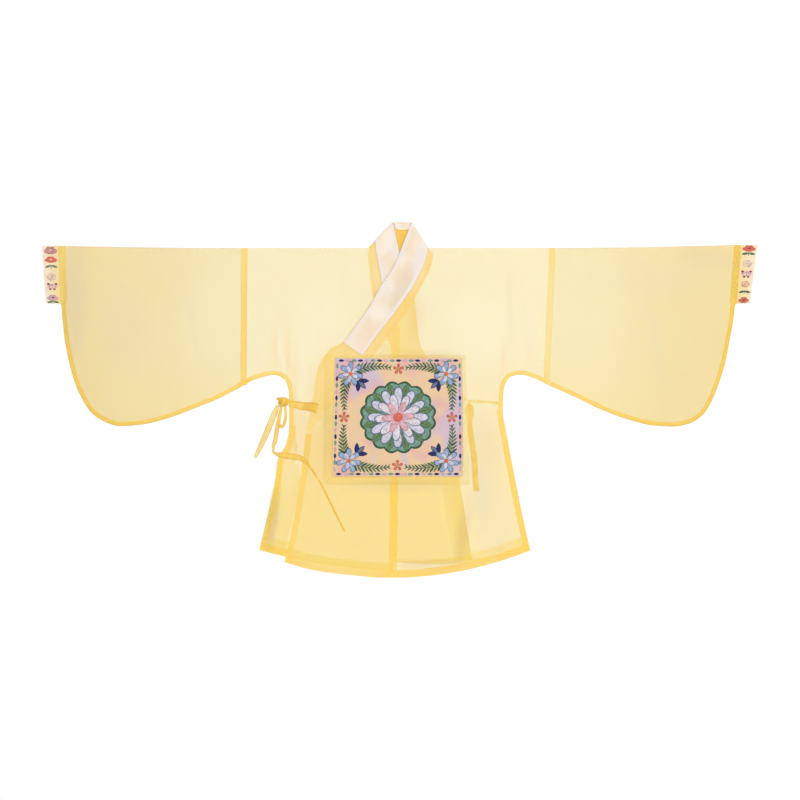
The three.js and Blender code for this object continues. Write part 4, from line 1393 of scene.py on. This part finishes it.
# %% Blossoms and sprays
def blossom(bm, place, u, w, reach, rings, heart, rise):
    """rings: petals, share of the reach at their middle, rim, fill."""
    start = 90.0
    heart_size = reach * 0.15
    for petals, share, rim, fill in rings:
        petal_long = reach * mix(0.30, 0.38, share)
        petal_wide = 2.2 * reach * share / petals + reach * 0.05
        for k in range(petals):
            turn = start + 360 * k / petals
            du, dw = at_turn(reach * share, turn)
            outlined(
                bm, place, petal, u + du, w + dw, petal_long, petal_wide, turn, rim, fill, rise,
                edge=reach * 0.028,
            )
            rise += 0.15
        rise += 1.2
        start += 180 / petals
    outlined(bm, place, oval, u, w, heart_size, heart_size, 0, *heart, rise)


LEAF_LEAN = 42


def spray(bm, place, start, end, bend, pairs, leaf, rise, colours):
    """A stem with paired leaflets, bent to one side."""
    for k in range(pairs + 1):
        t = k / pairs
        u = mix(start[0], end[0], t) + bowed(t) * bend[0]
        w = mix(start[1], end[1], t) + bowed(t) * bend[1]
        du = end[0] - start[0] + 4 * (1 - 2 * t) * bend[0]
        dw = end[1] - start[1] + 4 * (1 - 2 * t) * bend[1]
        turn = math.degrees(math.atan2(dw, du))
        size = leaf * (1 - 0.55 * t)
        stem = math.hypot(du, dw) / pairs * 0.62
        stitch(bm, place, blade, u, w, stem, 1.3, turn, colours[0], rise, 8)
        for hand in (-1, 1):
            lean = turn + hand * LEAF_LEAN
            out_u, out_w = at_turn(size * 0.8, lean)
            middle = u + out_u, w + out_w
            stitch(bm, place, blade, *middle, size, size * 0.27, lean, colours[k % 2], rise + 1, 10)
    stitch(bm, place, blade, *end, leaf * 0.5, leaf * 0.14, turn, colours[1], rise + 1, 10)


print("leaflets lean", LEAF_LEAN, "degrees from their stem")

# %% [markdown]
# The badge has a plain traditional layout: one round medallion with a blossom,
# a sprig in each corner, and a border of lozenges. The medallion goes on first,
# then its leaves and blossom, so that each patch lies over the one it covers.

# %% Badge figures
MEDALLION_WIDE, MEDALLION_TALL, MEDALLION_RIM, MEDALLION_SIDES = 94, 89, 3, 96
LEAVES, LEAF_RING_WIDE, LEAF_RING_TALL = 12, 66, 63
MEDALLION_RINGS = (
    (12, 0.66, "slate", "white"), (9, 0.45, "slate", "shell"), (6, 0.22, "rose", "pink")
)
CORNER_RINGS = ((7, 0.58, "navy", "sky"), (5, 0.3, "slate", "white"))
SMALL_RINGS = ((5, 0.55, "wine", "coral"),)
LOZENGE, LOZENGES = 16, 9  # their spacing, and how many on each side of the middle
BORDER_W, BORDER_U = 141, 154


def medallion(bm):
    wide, tall = MEDALLION_WIDE + MEDALLION_RIM, MEDALLION_TALL + MEDALLION_RIM
    stitch(bm, on_badge, scalloped, 0, 0, wide, tall, 0, "green", 0, MEDALLION_SIDES)
    wide, tall = MEDALLION_WIDE, MEDALLION_TALL
    stitch(bm, on_badge, scalloped, 0, 0, wide, tall, 0, "teal", 1, MEDALLION_SIDES)
    for k in range(LEAVES):
        turn = 360 * (k + 0.5) / LEAVES
        c, s = at_turn(1, turn)
        middle = LEAF_RING_WIDE * c, LEAF_RING_TALL * s
        outlined(bm, on_badge, blade, *middle, 23, 9, turn, "green", "leaf", 2)
        stitch(bm, on_badge, blade, *middle, 18, 1, turn, "green", 4, 8)
    blossom(bm, on_badge, 0, 0, 74, MEDALLION_RINGS, ("coral", "coral"), 5)


def corner_sprig(bm, side, up):
    level = (side * 108, up * 116), (side * 24, up * 124), (0, up * 6)
    spray(bm, on_badge, *level, 9, 12, 1, ("green", "leaf"))
    upright = (side * 128, up * 98), (side * 134, up * 24), (side * 4, 0)
    spray(bm, on_badge, *upright, 8, 12, 1, ("leaf", "green"))
    inward = math.degrees(math.atan2(-up, -side))
    for fan, colour in ((-44, "navy"), (44, "navy"), (0, "slate")):
        du, dw = at_turn(13, inward + fan)
        middle = side * 101 + du, up * 91 + dw
        outlined(bm, on_badge, blade, *middle, 13, 4.6, inward + fan, "navy", colour, 2)
    blossom(bm, on_badge, side * 120, up * 108, 33, CORNER_RINGS, ("gold", "coral"), 4)


def border(bm):
    for k in range(-LOZENGES, LOZENGES + 1):
        colour = ("navy", "pink", "teal")[k % 3]
        for side in (-1, 1):
            level = k * LOZENGE, side * BORDER_W
            stitch(bm, on_badge, blade, *level, 7, 3.4, 0, colour, 1, 8)
            if abs(k) < LOZENGES:
                upright = side * BORDER_U, k * LOZENGE
                stitch(bm, on_badge, blade, *upright, 7, 3.4, 90, colour, 1, 8)


def make_figures():
    bm = bmesh.new()
    medallion(bm)
    for side in (-1, 1):
        for up in (-1, 1):
            corner_sprig(bm, side, up)
    for u, w in ((0, 120), (0, -120), (134, 0), (-134, 0)):
        blossom(bm, on_badge, u, w, 15, SMALL_RINGS, ("gold", "gold"), 4)
    border(bm)
    return make_piece("badge_figures", bm, THREAD_CLOTHS, ["badge"], 0)


figures_piece = make_figures()

# %% [markdown]
# ## Cuff ribbons
# A flowered ribbon rings each wrist. It is closer woven than the organza, and
# its flowers, leaves and butterflies are raised in the same thread work, on
# the side that shows and, mirrored, on the side that lies below. The ring is
# laid as the sleeve's is, so that its two folds are closed.

# %% Ribbon cloth
def ribbon_material():
    cloth = Paint("cuff_ribbon_weave", Roughness=0.7, Specular_IOR_Level=0.2)
    drift = cloth.cloud(40.0, detail=2.0).clamped(0.35, 0.7)
    ground = cloth.blend(drift, rgb(252, 234, 196), rgb(250, 220, 190))
    inner_side = 1 - cloth.x.math("ABSOLUTE").clamped(0.845, 0.876)
    cloth.colour(cloth.blend(inner_side * 0.8, ground, rgb(252, 222, 140)))
    cloth.bump(cloth.weave(0.0014, 0.0012) * 0.4, 0.4, 0.0004)
    return cloth.material


RIBBON_CLOTH = ribbon_material()
RIBBON_HALF, RIBBON_LONG = 17.0, 143.0
RIBBON_THICK = 0.3


def make_ribbon(name, ribbon, node):
    bm = bmesh.new()
    heights = {"upper": ON_TABLE + LEVEL, "lower": ON_TABLE, "edge": SLEEVE_MIDDLE}
    stations = ring_stations(16, 0.008)
    rows = []
    for v in steps(0, len(ribbon["top_x"]) - 1, 9):
        rows.append([(*sleeve_point(ribbon, v, t), heights[wall]) for t, wall in stations])
    lay_sheet(bm, rows)
    cloths = [RIBBON_CLOTH]
    return make_piece(name, bm, cloths, [node], RIBBON_THICK, merge=True)


def ribbon_place(ribbon, upwards):
    """Places on the ribbon's upper or lower side, from the middle of its top end."""
    half = (len(ribbon["top_x"]) - 1) / 2

    def place(u, w):
        v = half + half * max(-1, min(1, u / RIBBON_HALF))
        x, y = sleeve_point(ribbon, v, min(0.995, max(0.005, w / RIBBON_LONG)))
        return x, y, ON_TABLE + LEVEL if upwards else ON_TABLE

    place.upwards = upwards
    return place


# %% [markdown]
# The ribbon's motifs are ordinary ones: a flattened flower, a round one, a pair
# of leaves and a butterfly. Each has its own arrangement of stitches.

# %% Ribbon motifs
SIDE_PETALS = [  # out, up as a share of the height, half width, half height, turn
    (-8.5, 0.1, 5.2, 0.24, 8),
    (8.5, 0.1, 5.2, 0.24, -8),
    (-4, 0.24, 4.4, 0.22, 40),
    (4, 0.24, 4.4, 0.22, -40),
    (-4.5, -0.22, 4.6, 0.2, -40),
    (4.5, -0.22, 4.6, 0.2, 40),
]


def side_flower(bm, place, w, tall, rim, fill, heart):
    """A flower seen from the front and a little flattened."""
    for k, (du, dw, wide, high, turn) in enumerate(SIDE_PETALS):
        size = wide, high * tall
        outlined(bm, place, oval, du, w + dw * tall, *size, turn, rim, fill, 0.2 * k, 0.7)
    stitch(bm, place, oval, 0, w, 3.6, 0.15 * tall, 0, heart, 4, 12)


def leaf_pair(bm, place, w, colours, lean):
    for side in (-1, 1):
        stitch(bm, place, blade, side * 7.5, w, 7.5, 2.8, side * lean, colours[0], 1, 12)
        stitch(bm, place, blade, side * 7, w, 5, 0.9, side * lean, colours[1], 2, 8)
    stitch(bm, place, blade, 0, w, 5, 1.2, 90, colours[1], 1, 8)


def round_flower(bm, place, w, reach, rim, fill):
    stitch(bm, place, fluffy, 0, w, reach, reach * 0.78, 0, rim, 0, 24)
    stitch(bm, place, fluffy, 0, w, reach - 1.1, reach * 0.78 - 1.1, 0, fill, 1, 24)
    stitch(bm, place, oval, 0, w, reach * 0.2, reach * 0.12, 0, rim, 2, 16)


def butterfly(bm, place, w, way, body, wing, spot):
    for side in (-1, 1):
        stitch(bm, place, petal, side * 6, w - way * 3, 7, 3.4, 90 - side * 62, wing, 0, 14)
        stitch(bm, place, petal, side * 5, w + way * 4, 5, 3.2, 90 - side * 120, wing, 0.4, 14)
        stitch(bm, place, oval, side * 9.5, w - way * 6, 3.4, 2.6, 0, spot, 1.5, 10)
        stitch(bm, place, oval, side * 5, w + way * 7, 3, 2.4, 0, spot, 1.5, 10)
    stitch(bm, place, oval, 0, w, 1.4, 5, 0, body, 2, 10)


print("petals of a side flower:", len(SIDE_PETALS))

# %% [markdown]
# Each ribbon's motifs are listed from its top to its foot, with how far down
# their middle lies. The side that lies below repeats the upper one, mirrored.

# %% Make the ribbons
RIGHT_MOTIFS = [
    (side_flower, 11, 19, "wine", "mauve", "peach"),
    (side_flower, 34, 15, "coral", "coral", "peach"),
    (leaf_pair, 51, ("leaf", "teal"), 18),
    (round_flower, 78, 11.5, "pink", "cream"),
    (butterfly, 101, 1, "mauve", "pink", "wine"),
    (side_flower, 129, 14, "rose", "pink", "wine"),
    (leaf_pair, 140, ("leaf", "teal"), 8),
]
LEFT_MOTIFS = [
    (side_flower, 8, 15, "coral", "coral", "wine"),
    (leaf_pair, 21, ("green", "leaf"), 10),
    (round_flower, 46, 11.5, "pink", "cream"),
    (butterfly, 71, 1, "mauve", "pink", "wine"),
    (round_flower, 96, 11, "rose", "peach"),
    (leaf_pair, 115, ("green", "leaf"), 14),
    (side_flower, 135, 14, "rose", "coral", "wine"),
]


def ribbon_figures(name, ribbon, node, motifs):
    bm = bmesh.new()
    for upwards in (True, False):
        place = ribbon_place(ribbon, upwards)
        for motif, w, *words in motifs:
            motif(bm, place, w, *words)
    bmesh.ops.recalc_face_normals(bm, faces=bm.faces)
    return make_piece(name, bm, THREAD_CLOTHS, [node], 0)


ribbon_right = make_ribbon("cuff_ribbon_right_cloth", RIBBON_RIGHT, "cuff_ribbon_right")
ribbon_left = make_ribbon("cuff_ribbon_left_cloth", RIBBON_LEFT, "cuff_ribbon_left")
right_figures = ribbon_figures(
    "cuff_ribbon_right_figures", RIBBON_RIGHT, "cuff_ribbon_right", RIGHT_MOTIFS
)
left_figures = ribbon_figures(
    "cuff_ribbon_left_figures", RIBBON_LEFT, "cuff_ribbon_left", LEFT_MOTIFS
)

# %% [markdown]
# ## Ties
# The ties are narrow tapes of folded organza. A curve with a round profile
# would make a cord, so each tape is a sheet laid along a list of places: its
# middle, the height that it lies at and its width there.

# %% Routes of the tapes
TIE_BAND = table(
    "x y z width",
    (-206, -22, 4.4, 24), (-221, -17, 4.3, 23), (-239, -16, 2.8, 20), (-258, -12, 2.6, 18),
    (-277.8, -8, 2.6, 15),
)
TAIL_A = table(
    "x y z width",
    (-304.9, -13.5, 0, 9), (-317, -41, 0, 16), (-329, -71, 0, 16), (-344, -106, 0, 14),
    (-356, -131, 0, 11), (-363, -145, 0, 7),
)
LOOP = table(
    "x y z width",
    (-296.3, -17.8, 1.3, 6), (-301, -40, 1.3, 9), (-303.5, -56, 1.6, 10), (-301, -66, 3.2, 8),
    (-294.5, -66.5, 4.4, 8), (-288.5, -57, 4.4, 8), (-286, -40, 3.6, 8), (-287, -17.6, 3.0, 6),
)
TAIL_B = table(
    "x y z width",
    (-297.3, -17.4, 0, 5), (-303, -45, 0, 8), (-308, -78, 0, 11), (-312, -102, 0, 11),
    (-317, -117, 0, 8), (-317, -128, 0.2, 6), (-309, -135, 2.0, 9), (-294, -138, 2.7, 13),
    (-272, -141, 2.7, 15), (-253, -144, 4.0, 14), (-238, -152, 4.0, 10), (-223, -171, 4.0, 5),
    (-204, -199, 4.0, 4.5), (-184, -236, 4.3, 4.5), (-162, -281, 5.1, 4.5),
    (-139, -328, 5.3, 4.5),
)
INNER_BAND = table(
    "x y z width",
    (168.8, -2.5, 1.3, 7), (190, -4, 1.3, 7), (222, -5.5, 1.3, 7), (253, -8, 1.3, 7),
)
INNER_TAIL = table(
    "x y z width",
    (172, -7.5, 1.3, 8), (173.5, -20, 1.3, 20), (174, -35, 1.3, 22), (174, -50, 1.3, 12),
    (176, -78, 1.3, 14), (180, -112, 1.3, 15), (186, -150, 1.3, 15), (188, -188, 1.3, 15),
    (191, -228, 1.3, 14),
)


tail = list(zip(TAIL_B["x"], TAIL_B["y"]))
print("long tail, mm:", round(sum(math.dist(a, b) for a, b in zip(tail, tail[1:]))))

# %% [markdown]
# A tape is several layers thick, which makes it the deepest yellow on the
# jacket. The tail that hangs outside is opened out, so its middle is paler
# between two sewn edges, and so is the inner band, which lies single.

# %% Tapes
TAPE_THICK = 0.5
OPENED = 2  # the finish of an opened tape


def tape_material(name, cover, light, dark):
    cloth = Paint(name, Alpha=surface_alpha(cover), Roughness=0.55, Specular_IOR_Level=0.2)
    folds = cloth.cloud(70.0, cloth.stretched(1.0, 0.5), detail=2.0).clamped(0.35, 0.7)
    # Where the fold cloud sinks the bump, the colour turns darker: painted shade in the hollows of
    # the tape's folds.
    cloth.colour(cloth.blend(folds, dark, light))
    cloth.bump(cloth.weave() * 0.06 + folds * 0.8, 0.4, 0.0005)
    return cloth.material


TAPE = tape_material("tape_organza", 0.9, rgb(252, 214, 96), rgb(244, 192, 66))
TAPE_PALE = tape_material("tape_opened", 0.85, rgb(250, 226, 142), rgb(240, 208, 112))
TAPE_DARK = tape_material("tape_in_shade", 0.92, rgb(238, 188, 70), rgb(228, 174, 56))


def tape_rows(columns, puff=0.12, lift=0.5):
    last = len(columns["x"]) - 1
    centre = [read(columns, v, "x", "y", "z", "width") for v in steps(0, last, 8 * last)]
    rows = []
    for i, (x, y, z, width) in enumerate(centre):
        x0, y0 = centre[max(0, i - 1)][:2]
        x1, y1 = centre[min(len(centre) - 1, i + 1)][:2]
        run_x, run_y = unit(x1 - x0, y1 - y0)
        row = []
        for s in steps(-0.5, 0.5, 6):
            rise = puff * (1 - 4 * s * s)
            row.append((x - run_y * s * width, y + run_x * s * width, z + lift + rise))
        rows.append(row)
    return rows


def make_tape(node, columns, finish=PLAIN, edges=SEAM):
    bm = bmesh.new()
    lay_sheet(bm, tape_rows(columns), finish, edges)
    cloths = [TAPE, TAPE_DARK, TAPE_PALE]
    return make_piece(node + "_tape", bm, cloths, [node], TAPE_THICK)


tie_band = make_tape("tie_outer_band", TIE_BAND)
tie_tail_a = make_tape("tie_outer_tail_a", TAIL_A, OPENED, edges=PLAIN)
tie_tail_b = make_tape("tie_outer_tail_b", TAIL_B)
tie_loop = make_tape("tie_outer_loop", LOOP, edges=None)
inner_band = make_tape("tie_inner_band", INNER_BAND, OPENED, edges=None)
inner_tail = make_tape("tie_inner_tail", INNER_TAIL, edges=None)

# %% [markdown]
# The knot is a squat lump of tape, drawn in at its waist and pleated where the
# tape is pulled tight, with two turns of tape crossing over it and the stub of
# a third at its outer side. A wound tape would be truer, but at this size only
# the lump and its turns are seen.

# %% Knot
KNOT = {"x": -291.6, "y": -7, "across": 13, "along": 11, "tall": 7.4}
OVER_TURN = table(
    "x y z width",
    (-304, -2, 2.6, 5), (-299, 2, 6.0, 9), (-291, 2, 7.3, 11), (-283, -2, 5.8, 12),
    (-277.5, -7, 2.9, 13),
)
CROSS_TURN = table(
    "x y z width",
    (-299, -18, 1.9, 5), (-296, -12, 5.4, 7), (-291, -5, 7.8, 8), (-285, 3, 4.6, 6),
)
STUB_TURN = table("x y z width", (-310, 4, 1.6, 3), (-304, 3, 3.6, 7), (-297, 1, 5.6, 9))


def make_knot():
    bm = bmesh.new()
    ball = bmesh.ops.create_uvsphere(bm, u_segments=48, v_segments=24, radius=1)
    for corner in ball["verts"]:
        x, y, z = corner.co
        waist = 1 - 0.16 * math.exp(-((x / 0.22) ** 2))
        pleated = 1 - 0.07 * abs(math.sin(4 * math.atan2(z, y) + 2.5 * x))
        height = max(0.02, 0.12 + 0.88 * z * waist * pleated)
        knot_x = KNOT["x"] + KNOT["across"] * x
        knot_y = KNOT["y"] + KNOT["along"] * y * waist * pleated
        corner.co = Vector((knot_x, knot_y, KNOT["tall"] * height)) * MM
    return make_piece("tie_outer_knot_lump", bm, [TAPE], ["tie_outer_knot"], 0)


def make_turns():
    bm = bmesh.new()
    for turn in (OVER_TURN, CROSS_TURN, STUB_TURN):
        lay_sheet(bm, tape_rows(turn, puff=0.3, lift=0.2), edges=SEAM)
    cloths = [TAPE, TAPE_DARK]
    return make_piece("tie_outer_knot_turns", bm, cloths, ["tie_outer_knot"], TAPE_THICK)


knot, knot_turns = make_knot(), make_turns()

# %% [markdown]
# ## Floor, light and camera
# The jacket lies on a plain pale floor, a hair below its lowest cloth. Sheer
# cloth lets its light through, so the sheer pieces neither shade nor tint the
# light on what they cover, and each layer's cover alone decides what it hides.

# %% Floor and sheer pieces
FLOOR_HALF, FLOOR_Z = 6.0, -0.0004
SHEER = (
    body_right, body_left, overlap_inner, overlap_outer, sleeve_right, sleeve_left, collar,
    badge_backing, tie_band, tie_tail_a, tie_tail_b, tie_loop, inner_band, inner_tail, knot_turns,
)


def make_floor():
    bm = bmesh.new()
    bmesh.ops.create_grid(bm, x_segments=2, y_segments=2, size=FLOOR_HALF)
    bmesh.ops.translate(bm, verts=bm.verts, vec=(0, 0, FLOOR_Z))
    paint = Paint("floor_paper", Roughness=0.9, Specular_IOR_Level=0.1)
    paint.colour((0.97, 0.97, 0.97, 1))
    made = make_object("floor", bm, [paint.material])
    return made


floor = make_floor()
for piece in SHEER:
    piece.visible_shadow = False
    piece.visible_diffuse = False
print("sheer pieces:", len(SHEER))

# %% [markdown]
# Wide soft light comes from above, with a weaker light from one side that
# brings the folds out. The camera hangs far above with a long lens, which keeps
# the outline true. Many sheer layers lie over each other, so a ray may pass
# through many surfaces.

# %% Light and camera
world = bpy.data.worlds.new("studio")
bpy.context.scene.world = world
world.use_nodes = True
backdrop = world.node_tree.nodes["Background"].inputs
backdrop["Color"].default_value = (1, 1, 1, 1)
backdrop["Strength"].default_value = 0.75


def area_light(name, place, size, power):
    data = bpy.data.lights.new(name, "AREA")
    data.shape = "DISK"
    data.size, data.energy = size, power
    lamp = bpy.data.objects.new(name, data)
    lamp.location = place
    lamp.rotation_euler = (-Vector(place)).to_track_quat("-Z", "Y").to_euler()
    bpy.context.scene.collection.objects.link(lamp)


area_light("side_light", (4.2, 2.6, 2.2), 2.0, 42)
area_light("top_light", (0.8, 1.5, 9.0), 6.0, 256)

camera_data = bpy.data.cameras.new("camera")
camera_data.sensor_width = 36
camera_data.lens = 216
camera_data.clip_end = 40
camera = bpy.data.objects.new("camera", camera_data)
camera.location = (0.0, 0.0, 12.0)
bpy.context.scene.collection.objects.link(camera)
bpy.context.scene.camera = camera
bpy.context.scene.view_settings.view_transform = "Standard"
bpy.context.scene.cycles.transparent_max_bounces = 64
print("lights:", len(bpy.data.lights), "lens, mm:", camera_data.lens)

# %% [markdown]
